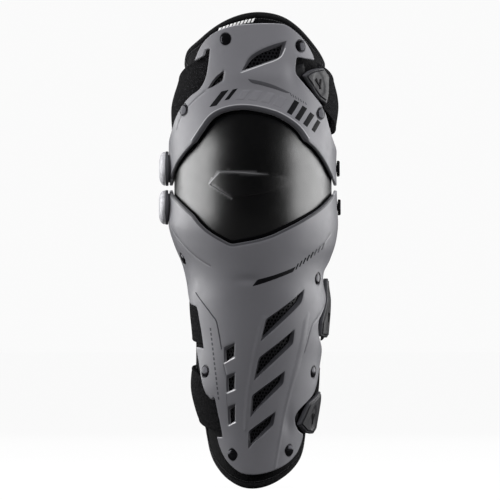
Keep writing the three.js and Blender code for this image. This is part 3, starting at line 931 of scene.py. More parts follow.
SHIN_VENTS = [
    # Each big vent: its upper right corner, lower right corner, bottom tip and upper left corner.
    ((55, -100.6), (51.4, -115.8), (10.2, -154.6), (15.6, -131.8)),
    ((44.9, -141.4), (43.2, -156.6), (3.8, -193.6), (8.6, -170.2)),
    ((35.2, -183.2), (33.5, -196.8), (0.2, -230.6), (1.6, -208.2)),
    ((26, -223.8), (23.7, -238), (-2, -262), (-2, -244.4)),
]
SMALL_VENTS = [
    # Each small vent: the tops of its left and right edges, then their bottoms.
    ((-24.9, -163.1), (-16.4, -158.2), (-16.9, -168.9), (-24.5, -174.7)),
    ((-22.2, -191.3), (-16, -187.7), (-16.4, -201.1), (-21.8, -204.6)),
    ((-20.9, -222.5), (-15.7, -219.4), (-16, -233.7), (-20, -237.2)),
]


SHIN_CREASES = [
    # Each crease: its points, width, depth and painted shade. The first two bound the raised knee cap.
    (fronts((-79.5, -38), (-70, -53.5), (-61.6, -62.5), (-50, -72.6), (-40, -78.4)), 1.7, 0.28, 0.85),
    (fronts((81, -45.5), (70, -61), (57, -71.5)), 1.7, 0.28, 0.7),
    # A step with painted shade in it parts the outer left panel from the front, beside the small vents.
    (fronts((-54.3, -105.5), (-45, -118), (-33.7, -133.3, 3), (-30.4, -150), (-28.6, -161.6)),
     2.0, 0.8, 0.9),
    (fronts((75, -118.6), (62.6, -137, 3), (58.6, -150), (54.6, -165)), 1.5, 0.45, 0.45),
]


def grown(corners, left=0.0, top=0.0, right=0.0, bottom=0.0):
    """A small vent's outline, moved out on each side."""
    (ax, az), (bx, bz), (cx, cz), (dx, dz) = corners
    return curve(fronts(
        (ax - left, az + top, 0.6), (bx + right, bz + top, 0.6),
        (cx + right, cz - bottom, 0.6), (dx - left, dz - bottom, 0.6),
    ), FINE)


def big_vent(upper, lower, tip, left):
    """A big vent's rim, and the hole inside its bevel."""
    rim = curve(fronts((*upper, 1), (*lower, 3), (*tip, 1), (*left, 3)))
    hole = curve(fronts(
        (upper[0] - 2.9, upper[1] - 4.4, 1), (lower[0] - 3.2, lower[1] + 1.4, 2.5),
        (tip[0] + 2.6, tip[1] + 5.4, 1), (left[0] + 1.6, left[1] - 1.4, 3),
    ))
    return rim, hole


def small_vent_relief(relief, corners):
    """A small vent in a pocket with painted shade, with a painted highlight on its lower lip and right
    edge. Returns its hole.
    """
    hole = grown(corners)
    relief.pocket(grown(corners, 1.6, 3.2, 1.4, 2.0), hole, 1.7, 0.6)
    (right_x, top_z), (low_x, low_z), (left_x, left_z) = corners[1:]
    lip = fronts((left_x - 1.2, left_z - 1.3), (low_x + 1.2, low_z - 1.5))
    relief.glint(open_curve(lip, FINE), 1.1, 1.0)
    side_edge = fronts((low_x + 1.5, low_z + 1), (right_x + 1.5, top_z + 1.5))
    relief.glint(open_curve(side_edge, FINE), 0.6, 0.3)
    return hole


def make_shin_shell():
    relief = Relief()
    holes = []
    # Painted shade on the big vents' bevels.
    for corners in SHIN_VENTS:
        rim, hole = big_vent(*corners)
        relief.pocket(rim, hole, 2.0, 0.93)
        holes.append(hole)
    for corners in SMALL_VENTS:
        holes.append(small_vent_relief(relief, corners))
    # Creases with painted shade link the small vents.
    for above, below in zip(SMALL_VENTS, SMALL_VENTS[1:]):
        (upper_x, upper_z), (lower_x, lower_z) = above[3], below[0]
        link = fronts((upper_x - 1.9, upper_z - 2.4), (lower_x - 1.9, lower_z + 3.6))
        relief.groove(open_curve(link), 1.1, 0.35, 0.6)
    # Painted shade on the lip along the valley edge.
    relief.edge_lip(open_curve(VALLEY), 2.6, 1.1, 0.85)
    for points, width, depth, painted_shade in SHIN_CREASES:
        relief.groove(open_curve(points), width, depth, painted_shade)
    # A raised blade between the big vents and the right side, and a ridge on the vents' left.
    blade = fronts(
        (60, -120, 4), (50.7, -179.2), (44.2, -195.5), (36.6, -224.8), (26.4, -283.5, 2),
        (23.6, -283.5, 2), (31, -240), (38.6, -203), (46, -176), (54, -132, 4),
    )
    ridge = fronts(
        (16.6, -129.6, 2), (12, -143), (7.4, -163), (0.6, -205), (-3, -244, 2), (-6.5, -244, 2),
        (-3.4, -205), (3.4, -161), (8.4, -141), (12.6, -128, 2),
    )
    relief.terrace(curve(blade), 0.55, 1.6)
    relief.terrace(curve(ridge), 0.5, 1.4)
    relief.swell(-3, -92.5, (13, 4), -0.9)
    relief.swell(39, -236, (8, 14), -1.5)
    return make_shell("shin_shell", "shin", shin_outline(), holes, relief, SHIN_RIVETS, -PIVOT_Z)


# ---- printed marks: thin raised ink, all of it plain shapes ----
INK_SUNK = -0.35
INK_PROUD = 0.12
LABEL_LOW = -6.6
LABEL_THICK = 0.7
MARK_RINGS = (0.3,)
BAND_BARS = [
    # Each bar: x, z, length, width, lean of its sides, direction of its ends.
    ("thigh_bar_mark", [
        (-31.0, 89.2, 20, 7.5, 38, 12), (-19.0, 93.2, 14, 5.0, 38, 12), (43.0, 80.2, 15, 5.6, 32, -30),
        (51.0, 74.4, 15, 5.6, 32, -34), (58.8, 68.2, 14, 5.4, 32, -38), (66.2, 61.8, 12, 4.4, 30, -42),
    ], INK),
    ("thigh_gloss_mark", [
        (-7, 92.6, 12, 9, 35, 2), (5.5, 92.0, 12, 9, 35, -6), (18, 89.8, 12, 9, 35, -14),
        (30, 86.0, 12, 9, 34, -22),
    ], GLOSS_INK),
]


def print_mark(name, body, outline, relief, material=INK):
    """Ink that follows the relief of the shell under it."""
    sheet = Sheet(outline, spacing=2.0, rings=MARK_RINGS)
    u, v = sheet.points.T
    out = normals(leg, u, v)
    under = leg(u, v) + out * relief.apply(sheet.points)[0][:, None]
    outer = under + out * (INK_PROUD - rounding(sheet.edge, 0.08))[:, None]
    points, faces, _ = thicken(outer, under + out * INK_SUNK, sheet.triangles)
    finish(make_object(name, points, faces), body, "charcoal_clip", material)


def bar(x, z, length, width, lean, direction=0.0):
    """A slanted bar seen from the front: its sides lean, its ends follow a direction in degrees."""
    along = np.array([math.cos(math.radians(direction)), math.sin(math.radians(direction))])
    up = np.array([math.sin(math.radians(lean)), math.cos(math.radians(lean))])
    corners = [
        (x, z) + a * width / 2 * along + b * length / 2 * up
        for a, b in ((-1, -1), (1, -1), (1, 1), (-1, 1))
    ]
    return curve(fronts(*[(*corner, 0.3) for corner in corners]), FINE)


def shares(count):
    return [(k + 1, k / (count - 1)) for k in range(count)]


def make_marks(thigh_relief, shin_relief):
    shin_crescent = curve(fronts(
        (2.2, -98.9, 0.8), (7.4, -92.2, 2), (22, -88.4), (36.7, -83.2), (46.2, -78.8, 0.6),
        (43, -84.4, 0.8), (28, -90.6), (12, -96.2),
    ))
    print_mark("shin_stripe", "shin", shin_crescent, shin_relief)
    for number, share in shares(8):
        tick = bar(47.2 + 26.0 * share, -79.0 + 20.0 * share, 6.6 + 0.8 * share, 1.3, 22)
        tone = INK if share < 0.65 else SOFT_INK
        print_mark(f"shin_stripe_tick_{number}", "shin", tick, shin_relief, tone)
    thigh_crescent = curve(fronts(
        (-2.4, 108.8, 1), (12, 106.4), (26, 102), (41, 94.6, 1), (36.5, 94.6, 1), (24, 98.8),
        (10, 102.8), (1.6, 104.2),
    ))
    print_mark("thigh_stripe", "thigh", thigh_crescent, thigh_relief, SOFT_INK)
    for number, share in shares(7):
        tick = bar(41.0 + 15.0 * share, 93.2 - 9.0 * share, 3.8 - 1.2 * share, 0.9, -20)
        print_mark(f"thigh_stripe_tick_{number}", "thigh", tick, thigh_relief, SOFT_INK)
    # A column of short dashes runs down the outer left panel.
    for number, share in shares(15):
        dash = bar(-39.6 + 8.0 * share, -142 - 69 * share, 3.0, 1.5, -7)
        print_mark(f"shin_panel_dash_{number}", "shin", dash, shin_relief, SOFT_INK)
    # The band over the arch holds plain slanted bars in place of any lettering.
    for name, bars, material in BAND_BARS:
        for k, mark in enumerate(bars):
            print_mark(f"{name}_{k + 1}", "thigh", bar(*mark), thigh_relief, material)
    # A small plain label strip on the liner, above the shell's top edge.
    for number, share in shares(10):
        x = -33.2 + 36.0 * share
        z = 158.9 + 12.2 * share - 3.6 * share ** 2
        dash = Sheet(bar(x, z, 3.4 + 1.2 * share, 2.7, 28, 12), spacing=1.6, rings=MARK_RINGS)
        piece = plate(f"liner_label_dash_{number}", leg, dash, LABEL_LOW, LABEL_LOW + LABEL_THICK,
                      round_out=0.2, round_in=0.05)
        finish(piece, "thigh", "black_fabric", PALE_INK)


# ---- the knee cup ----
CUP_SPLIT = math.radians(66)  # where the cup's front area meets its side wings
EDGE_SLOPE = math.atan2(62, 59.5) - math.radians(2.35)  # lean of the cup's straight upper edge
EDGE_AWAY = 18.05  # from a hinge axis to that edge
CUP_SIDE_POINTS = 130  # along each seam between the front and a wing
WING_BACK = [(9, 33), (12.4, 27), (13.5, 20)]  # the upper half of a wing's back edge, as y, z
WING_HOLE = 6.3
# A raised emblem shape: plain facets that fade out to the right, with painted highlights on its left
# edges.
EMBLEM = [
    (-41.1, 3.6, 1), (-30.8, 15.4, 1), (-22, 16.4, 2), (17.6, 13.4), (44, 9, 10), (36.7, -0.8, 10),
    (7.4, -7.4), (-17.6, -11.1, 2),
]
EMBLEM_INNER = [
    (-39.4, 3.6, 1), (-30.0, 14.3, 1), (-22, 15.1, 2), (17.6, 12.1), (41, 8.2, 10), (35, 0.2, 10),
    (7.4, -6.2), (-17.2, -9.8, 2),
]
EMBLEM_GLINTS = [
    ([(-40.6, 3.9), (-30.6, 15)], 1.0),
    ([(-30.6, 15), (-22, 16.0), (17.6, 12.9)], 0.45),
    ([(-40.6, 3.9), (-18, -10.4)], 0.5),
]
EMBLEM_RISE = 1.3
EMBLEM_FADE = (2, 42)
GLINT_FADE = (-6, 24)


def cup_top(alpha, slope=EDGE_SLOPE, away=EDGE_AWAY):
    """The dome's domain height of the cup's upper edge."""
    radius = CUP_DEPTH * math.cos(alpha)
    return PIVOT_Z + CUP_DEPTH * (slope + math.asin(min(1, away / radius)))


def weld(points, triangles):
    """Joins points that lie on one another: which points stay, and the triangles between them."""
    keys = np.round(points / 0.02).astype(np.int64)
    _, first, inverse = np.unique(keys, axis=0, return_index=True, return_inverse=True)
    a, b, c = inverse.ravel()[triangles].T
    whole = (a != b) & (b != c) & (a != c)
    return first, np.stack([a, b, c], axis=1)[whole]


def cup_front():
    """The cup between its wings: outer points, inner points, triangles and the painted highlight along
    the emblem's edges.
    """
    split_u = CUP_SPLIT * CUP_HALF
    split_v = cup_top(CUP_SPLIT)
    across = np.linspace(-CUP_SPLIT, CUP_SPLIT, 120)
    top = [(a * CUP_HALF, cup_top(a)) for a in across]
    bottom = [(u, -v) for u, v in reversed(top)]
    down = np.linspace(split_v, -split_v, CUP_SIDE_POINTS)[1:-1]
    right_side = [(split_u, v) for v in down]
    left_side = [(-split_u, v) for v in down[::-1]]
    emblem = curve([on_cup(*place) for place in EMBLEM])
    inner = curve([on_cup(*place) for place in EMBLEM_INNER])
    outline = np.array(top + right_side + bottom + left_side)
    sheet = Sheet(outline, [], [(emblem, True), (inner, True)], spacing=2.6, rings=())
    u, v = sheet.points.T
    glow = np.max([
        near(sheet.points, open_curve([on_cup(*place) for place in places]), 1.1, strength)
        for places, strength in EMBLEM_GLINTS
    ], axis=0)
    share = np.clip(depth_in(sheet.points, emblem) / EMBLEM_RISE, 0, 1)
    rise = EMBLEM_RISE * (1 - ramp(u, *EMBLEM_FADE)) * share
    outer = dome(u, v) + normals(dome, u, v) * rise[:, None]
    return outer, dome(u, v, -WALL), sheet.triangles, glow * (1 - ramp(u, *GLINT_FADE))


def cup_wing(side):
    """A side wing, with its two bolt holes."""
    surface = wing(side)
    split_v = cup_top(CUP_SPLIT)
    down = np.linspace(split_v, -split_v, CUP_SIDE_POINTS)
    border = dome(np.full(len(down), side * CUP_SPLIT * CUP_HALF), down)[:, 1:]
    back = [border[0], *WING_BACK, *[(y, -z) for y, z in reversed(WING_BACK)], -border[0] * (-1, 1)]
    back_path = open_curve([(*place, 1.0) for place in back])
    loop = np.concatenate([border[::-1], back_path[1:-1]])
    holes = [circle((0, up * PIVOT_Z), WING_HOLE) for up in (1, -1)]
    sheet = Sheet(loop, holes, rings=())
    y, z = sheet.points.T
    triangles = sheet.triangles if side > 0 else sheet.triangles[:, ::-1]
    return surface(y, z), surface(y, z, -WALL), triangles, np.zeros(len(y))


def make_cup():
    parts = [cup_front(), cup_wing(1), cup_wing(-1)]
    starts = np.cumsum([0] + [len(part[0]) for part in parts[:-1]])
    outer, inner, _, glow = [np.concatenate(kind) for kind in zip(*parts)]
    triangles = np.concatenate([part[2] + start for part, start in zip(parts, starts)])
    first, triangles = weld(outer, triangles)
    points, faces, used = thicken(outer[first], inner[first], triangles)
    # The painted highlight is stored as a small edge distance, which the cup's material lightens.
    edge = 1 - np.tile(glow[first][used], 2)
    piece = make_object("knee_cup_dome", points, faces, {"edge": edge}, 30)
    bevel = piece.modifiers.new("rim", "BEVEL")
    bevel.width = 0.7 * MM
    bevel.segments = 2
    bevel.limit_method = "ANGLE"
    bevel.angle_limit = math.radians(60)
    finish(piece, "knee", "black_cup", BLACK, "knee_cup")


# ---- seals: a soft black lip under each shell's inner edge, lying on the cup, whose black is painted shade for the gap between them ----
SHADE_SEAL = {"inside": 4.0, "under": 2.5, "low": 0.25, "high": 0.9, "reach": 72}


def make_shade_seal(name, body, edge):
    """A strip along a shell's edge as it is seen from the front, drawn on the cup's surface. Its black
    is painted shade for the gap under the shell's edge.
    """
    spots = np.array([leg(u, v)[[0, 2]] for u, v in open_curve(edge, 2.0)])
    spots = spots[np.abs(spots[:, 0] - CUP_MIDDLE) < SHADE_SEAL["reach"]]
    inner = clear_part(offset_path(spots, SHADE_SEAL["inside"]), spots, SHADE_SEAL["inside"])
    outer = offset_path(spots, -SHADE_SEAL["under"])
    loop = [on_cup(x, z)[:2] for x, z in np.concatenate([outer, inner[::-1]])]
    sheet = Sheet(np.array(loop), spacing=2.2, rings=(0.4,))
    piece = plate(name, dome, sheet, SHADE_SEAL["low"], SHADE_SEAL["high"], round_out=0.5, round_in=0.1)
    finish(piece, body, "black_fabric", SHADE_SEAL_RUBBER)


# ---- soft pads ----
PAD_LOW = -14.5
PAD_HIGH = -7.5
PAD_MIDDLE = -10.8
PAD_CHANNEL = 0.9  # how thick a seam inside the pad stays, beside the edge's
PAD_CROWN = 5.5  # how far from a seam the filling grows full
PAD_SEAM = 0.7  # half the thickness at a seam
PAD_SWELL = 1.2  # the room left for the cloth to swell
CLOTH_FRAMES = 20
FOAM_SLOPE = math.radians(44.3)
FOAM_AWAY = 9.0
TAPE = {"offset": -10.4, "out": 3.0, "across": 2.9}


def positions(vertices):
    flat = np.empty(len(vertices) * 3, np.float32)
    vertices.foreach_get("co", flat)
    return flat.reshape(-1, 3)


def swelled(piece, pinned, cap, pressure):
    """Inflates a closed cloth piece with Cloth, capped, and keeps the result as its mesh."""
    group = piece.vertex_groups.new(name="seams")
    group.add([int(i) for i in np.nonzero(pinned)[0]], 1.0, "REPLACE")
    cloth = piece.modifiers.new("padding", "CLOTH")
    cloth.settings.effector_weights.gravity = 0
    cloth.settings.vertex_group_mass = "seams"
    cloth.settings.use_pressure = True
    cloth.settings.uniform_pressure_force = pressure
    cloth.settings.quality = 5
    cloth.settings.tension_stiffness = 15
    cloth.settings.compression_stiffness = 15
    cloth.settings.bending_stiffness = 2
    cloth.collision_settings.use_collision = False
    cloth.point_cache.frame_start = 1
    cloth.point_cache.frame_end = CLOTH_FRAMES
    scene = bpy.context.scene
    for number in range(1, CLOTH_FRAMES + 1):
        scene.frame_set(number)
    evaluated = piece.evaluated_get(bpy.context.evaluated_depsgraph_get())
    before = positions(piece.data.vertices)
    move = positions(evaluated.data.vertices) - before
    piece.modifiers.remove(cloth)
    scene.frame_set(1)
    length = np.linalg.norm(move, axis=1, keepdims=True)
    limit = cap * MM
    move *= np.minimum(1, limit / np.maximum(length, 1e-9))
    piece.data.vertices.foreach_set("co", (before + move).ravel())
    piece.data.update()


def make_pad(name, body, surface, outline, channels, low, high, node, cap=2.6, puff=1.0):
    """A padded cushion on a surface: sewn round its edge and along its channels."""
    sheet = Sheet(outline, (), [(c, False) for c in channels], spacing=4.2, rings=(1.4, 3.2))
    u, v = sheet.points.T
    middle = (low + high) / 2
    half = (high - low) / 2
    seam = sheet.edge.copy()
    for channel in channels:
        seam = np.minimum(seam, distance(sheet.points, channel, False) + PAD_CHANNEL)
    # The filling crowns between the seams, and the cloth swells it further.
    full = 1 - np.exp(-seam / PAD_CROWN)
    out = normals(surface, u, v, middle)
    lift = (PAD_SEAM + (half - PAD_SWELL - PAD_SEAM) * full)[:, None] * puff
    centre_line = surface(u, v, middle)
    points, faces, used = thicken(centre_line + out * lift, centre_line - out * lift, sheet.triangles)
    piece = make_object(name, points, faces, None, 180)
    swelled(piece, np.tile((seam < 1.0)[used], 2), cap, 4.0)
    smoother = piece.modifiers.new("subdivision", "SUBSURF")
    smoother.levels = 1
    smoother.render_levels = 1
    finish(piece, body, "black_fabric", FABRIC, node)


def ring_quads(rows, segments, closed=False):
    """Quads between rings of points, each from one ring's two corners to the next ring's."""
    quads = []
    for row in range(rows if closed else rows - 1):
        here = row * segments
        following = (row + 1) % rows * segments
        for k in range(segments):
            turned = (k + 1) % segments
            quads.append((here + k, here + turned, following + turned, following + k))
    return quads


def tube(name, path, radius_out, radius_across, out, segments=14):
    """A closed cord along a path: wider across or out as its two radii say."""
    forward = round_path(path)
    forward /= np.linalg.norm(forward, axis=1, keepdims=True)
    side = np.cross(forward, out)
    side /= np.linalg.norm(side, axis=1, keepdims=True)
    angles = np.linspace(0, 2 * math.pi, segments, endpoint=False)
    rings = (path[:, None] + radius_out * np.cos(angles)[None, :, None] * out[:, None]
             + radius_across * np.sin(angles)[None, :, None] * side[:, None])
    faces = ring_quads(len(path), segments, closed=True)
    return make_object(name, rings.reshape(-1, 3), faces, None, 60)


STITCH = {"length": 2.2, "pitch": 3.3, "radius": 0.32, "sides": 6}
STITCH_SINK = np.array([-0.35, 0.05, 0.15, 0.05, -0.35])
STITCH_THIN = np.array([0.45, 0.95, 1.0, 0.95, 0.45])


def stitches(name, body, surface, path, offset):
    """A row of sewn stitches along a closed domain path, as one piece."""
    track = np.concatenate([path, path[:1]])
    run = np.concatenate([[0], np.cumsum(np.linalg.norm(np.diff(track, axis=0), axis=1))])
    count = int(run[-1] // STITCH["pitch"])
    sides = STITCH["sides"]
    rows = len(STITCH_SINK)
    sink = STITCH_SINK[:, None]
    thin = (STITCH_THIN * STITCH["radius"])[:, None]
    angles = np.linspace(0, 2 * math.pi, sides, endpoint=False)
    points = []
    faces = []
    for k in range(count):
        spots = run[-1] * k / count + np.linspace(0, STITCH["length"], rows)
        u = np.interp(spots, run, track[:, 0])
        v = np.interp(spots, run, track[:, 1])
        middle = surface(u, v, offset)
        out = normals(surface, u, v, offset)
        forward = np.gradient(middle, axis=0)
        forward /= np.linalg.norm(forward, axis=1, keepdims=True)
        side = np.cross(forward, out)
        rings = (middle[:, None] + out[:, None] * (sink + thin * np.cos(angles))[..., None]
                 + side[:, None] * (thin * np.sin(angles))[..., None])
        first = len(points) * rows * sides
        last = first + (rows - 1) * sides
        points.append(rings.reshape(-1, 3))
        faces += [tuple(first + corner for corner in quad) for quad in ring_quads(rows, sides)]
        faces.append(tuple(range(first, first + sides))[::-1])
        faces.append(tuple(range(last, last + sides)))
    piece = make_object(name, np.concatenate(points), faces, None, 80)
    finish(piece, body, "black_fabric", THREAD)


def shrunk(path, amount):
    """A closed path moved towards its inside, with folds removed."""
    area = (path[:, 0] * np.roll(path[:, 1], -1) - np.roll(path[:, 0], -1) * path[:, 1]).sum()
    moved = path + math.copysign(1, area) * amount * left_of(round_path(path))
    return moved[depth_in(moved, path) > 0.9 * amount]


def bind_edge(name, body, outline):
    """Bias tape rolled over a liner's edge, with a row of stitches inside it."""
    path = shrunk(outline, TAPE["across"] - 0.4)
    out = normals(leg, *path.T, TAPE["offset"])
    tape = tube(name, leg(*path.T, TAPE["offset"]), TAPE["out"], TAPE["across"], out)
    finish(tape, body, "black_fabric", BINDING)
    inner = shrunk(outline, 2 * TAPE["across"] + 0.6)
    stitches(name + "_stitches", body, leg, inner, TAPE["offset"] + TAPE["out"] * 0.72)


def pad_fronts(*places):
    return fronts(*places, offset=PAD_MIDDLE)


def pad_flanks(side, *places):
    return flanks(side, *places, offset=PAD_MIDDLE)


def thigh_pad_outline():
    back_edge = [(-10, 98), (0, 84), (-6, 72), (-30, 71)]
    return curve([
        *pad_fronts((10.3, 176.3), (-6, 174.4), (-22, 168.7), (-36.7, 159.8), (-51.3, 146.5),
                    (-60, 139.4), (-66.2, 131.8), (-68.2, 122)),
        *pad_flanks(-1, (-31, 112), *back_edge),
        *pad_fronts((-56, 81), (-28, 98.5), (30, 98.5), (58, 85)),
        *pad_flanks(1, *reversed(back_edge), (-28, 112)),
        *pad_fronts((74, 123), (69, 133.4), (58.9, 148), (44.4, 164), (29.4, 173)),
    ], 2.0)


def shin_pad_outline():
    back_edge = [(-16, -76), (-4, -84), (4, -110), (-2, -150), (-6, -200), (-8, -240)]
    return curve([
        *pad_flanks(-1, *reversed(back_edge)),
        *pad_fronts((-50, -84), (-20, -100.5), (28, -100.5), (56, -86)),
        *pad_flanks(1, *back_edge),
        *pad_fronts((57.6, -252), (54.5, -260.7), (47.2, -274), (36.9, -287), (22, -297.3), (7, -302),
                    (-7.3, -301), (-22, -292), (-32.3, -278.5), (-41, -261), (-45.7, -246)),
    ], 2.0)


def make_liner(body, outline, channels):
    paths = [open_curve(channel, 3) for channel in channels]
    make_pad(f"{body}_liner_pad", body, leg, outline, paths, PAD_LOW, PAD_HIGH, f"{body}_pad")
    bind_edge(f"{body}_liner_binding", body, outline)


def make_pads():
    make_liner("thigh", thigh_pad_outline(), [
        fronts((-44, 104), (-40, 126), (-22, 148), (2, 158)),
        fronts((46, 104), (46, 126), (32, 148), (14, 158)),
        fronts((-14, 106), (2, 112), (18, 106)),
    ])
    make_liner("shin", shin_pad_outline(), [
        *[fronts((x - 14, -112), (x - 9, -170), (x, -268)) for x in (-22, 4, 30)],
        *[flanks(side, (-34, -96), (-30, -160), (-24, -226)) for side in (-1, 1)],
    ])


def make_foam():
    reach = math.radians(70)
    across = np.linspace(-reach, reach, 40)
    top = [(a * CUP_HALF, cup_top(a, FOAM_SLOPE, FOAM_AWAY)) for a in across]
    bottom = [(u, -v) for u, v in reversed(top)]
    rows = [[(*row[0], 6.0), *row[1:-1], (*row[-1], 6.0)] for row in (top, bottom)]
    channels = [
        open_curve([(-78, v * 0.2), (-40, v), (0, v * 1.15), (40, v), (78, v * 0.2)], 3)
        for v in (42, -42)
    ]
    make_pad("knee_liner_foam", "knee", dome, curve(rows[0] + rows[1], 3.0), channels, -12.0, -3.7,
             "knee_foam", 1.6, 0.9)


# ---- straps ----
def ribbon(name, body, stations, low, high, *node):
    """A strap: stations of domain u, lower edge, upper edge, joined smoothly; woven along it."""
    stations = np.array(stations, float)
    count = max(12, int((stations[-1, 0] - stations[0, 0]) / STRAP_STEP))
    u = np.linspace(stations[0, 0], stations[-1, 0], count)
    lower = smooth_through(stations[:, 0], stations[:, 1], u)[:, None]
    width = smooth_through(stations[:, 0], stations[:, 2], u)[:, None] - lower
    across = ((1 - np.cos(np.linspace(0, math.pi, STRAP_ROWS))) / 2)[None]
    rows = across.size
    end = np.minimum(u - u[0], u[-1] - u)[:, None]
    edge = np.minimum(np.minimum(across, 1 - across) * width, end).ravel()
    flat_u = np.repeat(u, rows)
    flat_z = (lower + width * across).ravel()
    out = normals(leg, flat_u, flat_z, high)
    round_off = rounding(edge, (high - low) / 2 * 0.9)
    # Woven hems run just inside both edges, and the middle of the strap crowns slightly.
    hem = -STRAP_HEM["depth"] * np.exp(-((edge - STRAP_HEM["inset"]) / STRAP_HEM["width"]) ** 2)
    swell = STRAP_CROWN * np.sin(np.pi * np.tile(across.ravel(), count)) ** 2
    outer = leg(flat_u, flat_z, high) + out * (hem + swell - round_off)[:, None]
    inner = leg(flat_u, flat_z, low) + out * (swell + round_off)[:, None]
    total = count * rows
    faces = []
    for i in range(count - 1):
        for k in range(rows - 1):
            a = i * rows + k
            quad = (a, a + rows, a + rows + 1, a + 1)
            faces.append(quad)
            faces.append(tuple(p + total for p in quad[::-1]))
    rim = list(range(rows))
    rim += [i * rows + rows - 1 for i in range(1, count)]
    rim += [(count - 1) * rows + k for k in range(rows - 2, -1, -1)]
    rim += [i * rows for i in range(count - 2, 0, -1)]
    faces += [(a, b, b + total, a + total) for a, b in zip(rim, rim[1:] + rim[:1])]
    values = {"along": flat_u, "across": ((across - 0.5) * width).ravel(), "edge": edge}
    doubled = {label: np.tile(value, 2) for label, value in values.items()}
    piece = make_object(name, np.concatenate([outer, inner]), faces, doubled, 50)
    return finish(piece, body, "elastic_webbing", WEBBING, *node)


def smooth_through(keys, values, where):
    """A smooth curve through key values, without overshoot."""
    steps = np.diff(values) / np.diff(keys)
    slopes = np.zeros(len(keys))
    slopes[1:-1] = np.where(steps[1:] * steps[:-1] > 0, (steps[1:] + steps[:-1]) / 2, 0)
    slopes[0] = steps[0]
    slopes[-1] = steps[-1]
    return hermite(keys, values, slopes, where)


STRAP_LOW = -6.2
STRAP_HIGH = -3.6
STRAP_HEM = {"depth": 0.35, "inset": 4.2, "width": 0.7}
STRAP_CROWN = 0.5
STRAP_STEP = 2.2  # point spacing along a strap
STRAP_ROWS = 25  # points across it, closer together towards its edges
STRAP_LAP = 10  # how far the pulled end lies over the band
STRAP_NARROW = 1.2  # how much narrower that end is, on each side
TURN = 2 * math.pi * ROUND  # once round the leg, in the domain


def around(side, y, z):
    """A strap's domain place: the left side comes after the right, through the back."""
    u = flank(side, y, z)[0]
    return u if side > 0 else u + TURN


def strap_stations(rows, right_end, left_end):
    """Stations from rows of y, lower edge, upper edge, which both sides share, in order."""
    stations = [(math.pi * ROUND, *rows[-1][1:])]
    for side, end in ((1, right_end), (-1, left_end)):
        for y, low, high in rows:
            if y >= end:
                stations.append((around(side, y, (low + high) / 2), low, high))
    return sorted(stations)


STRAPS = {
    # Rows of y, lower edge, upper edge, from the front to the back; the y at which each end stops.
    "thigh_strap": {
        "body": "thigh", "buckle": "thigh_buckle",
        "rows": [(-58, 98, 136), (-50, 88, 132), (-40, 78, 127), (-20, 66, 119), (0, 57, 112),
                 (30, 52, 107), (60, 50, 104)],
        "left": -58, "right": -46, "join": 24,
    },
    "upper_calf_strap": {
        "body": "shin", "buckle": "upper_calf_buckle",
        "rows": [(-50, -157, -119), (-40, -157, -114), (-20, -155, -102), (0, -153, -103),
                 (30, -150, -100), (55, -148, -98)],
        "left": -50, "right": -20, "join": 26,
    },
    "lower_calf_strap": {
        "body": "shin", "buckle": "lower_calf_buckle",
        "rows": [(-50, -247, -208), (-40, -244, -194), (-20, -240, -184), (0, -236, -180),
                 (25, -233, -178)],
        "left": -50, "right": -32, "join": 16,
    },
}


def make_strap(name, body, buckle, rows, left, right, join):
    stations = strap_stations(rows, right, left)
    split = around(1, join, np.mean(rows[-1][1:]))
    at = np.array(stations)
    low, high = [float(smooth_through(at[:, 0], at[:, k], np.array([split]))[0]) for k in (1, 2)]
    main = [(split - 1, low, high)] + [s for s in stations if s[0] > split]
    ribbon(name + "_band", body, main, STRAP_LOW, STRAP_HIGH, name)
    # The end that the buckle pulls is sewn over the band.
    end = [s for s in stations if s[0] < split] + [(split, low, high), (split + STRAP_LAP, low, high)]
    end = [(u, a + STRAP_NARROW, b - STRAP_NARROW) for u, a, b in end]
    piece = ribbon(name + "_end", None, end, STRAP_HIGH + 0.1, STRAP_HIGH + 1.9)
    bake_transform(piece)


# ---- lathed fasteners ----
def lathe(name, profile, start, direction, segments=56, closed=False):
    """Turns a profile of radius, distance out along x. A third value makes that ring six-sided."""
    angles = np.linspace(0, 2 * math.pi, segments, endpoint=False)
    direction = np.asarray(direction, float) / np.linalg.norm(direction)
    helper = np.array([0, 0, 1.0]) if abs(direction[2]) < 0.9 else np.array([1.0, 0, 0])
    side = np.cross(direction, helper)
    side /= np.linalg.norm(side)
    spokes = (np.cos(angles)[:, None] * side + np.sin(angles)[:, None] * np.cross(direction, side))
    points = []
    for radius, out, *six_sided in profile:
        spread = np.full(segments, float(radius))
        if six_sided:
            spread = radius * math.cos(math.pi / 6) / np.cos(angles % (math.pi / 3) - math.pi / 6)
        points.append(start + direction * out + spread[:, None] * spokes)
    quads = ring_quads(len(profile), segments, closed)
    faces = [(a, d, c, b) for a, b, c, d in quads]
    if not closed:
        last = (len(profile) - 1) * segments
        faces.append(tuple(range(segments)))
        faces.append(tuple(range(last, last + segments))[::-1])
    return make_object(name, np.concatenate(points), faces, None, 32)


def arc_profile(r0, h0, r1, h1, steps, bulge=1.0):
    """Part of an ellipse from a vertical side at r0, h0 to a flat top at r1, h1."""
    return [
        (r1 + (r0 - r1) * math.cos(t), h0 + (h1 - h0) * math.sin(t) ** bulge)
        for t in np.linspace(0, math.pi / 2, steps)
    ]


def make_rivets(body, places):
    profile = [(2.4, -3.4), (2.4, -0.9), (5.5, -0.9), (5.7, -0.7), (5.7, -0.4), (5.5, -0.15)]
    profile += arc_profile(5.2, -0.1, 0.4, 1.0, 10, 0.9)
    for place, (x, z) in places.items():
        u, v, _ = front(x, z)
        out = normals(leg, np.array([u]), np.array([v]))[0]
        piece = lathe(f"{body}_rivet_head_{place}", profile, leg(u, v), out)
        finish(piece, body, "dark_steel", STEEL, f"{body}_rivet_{place}")


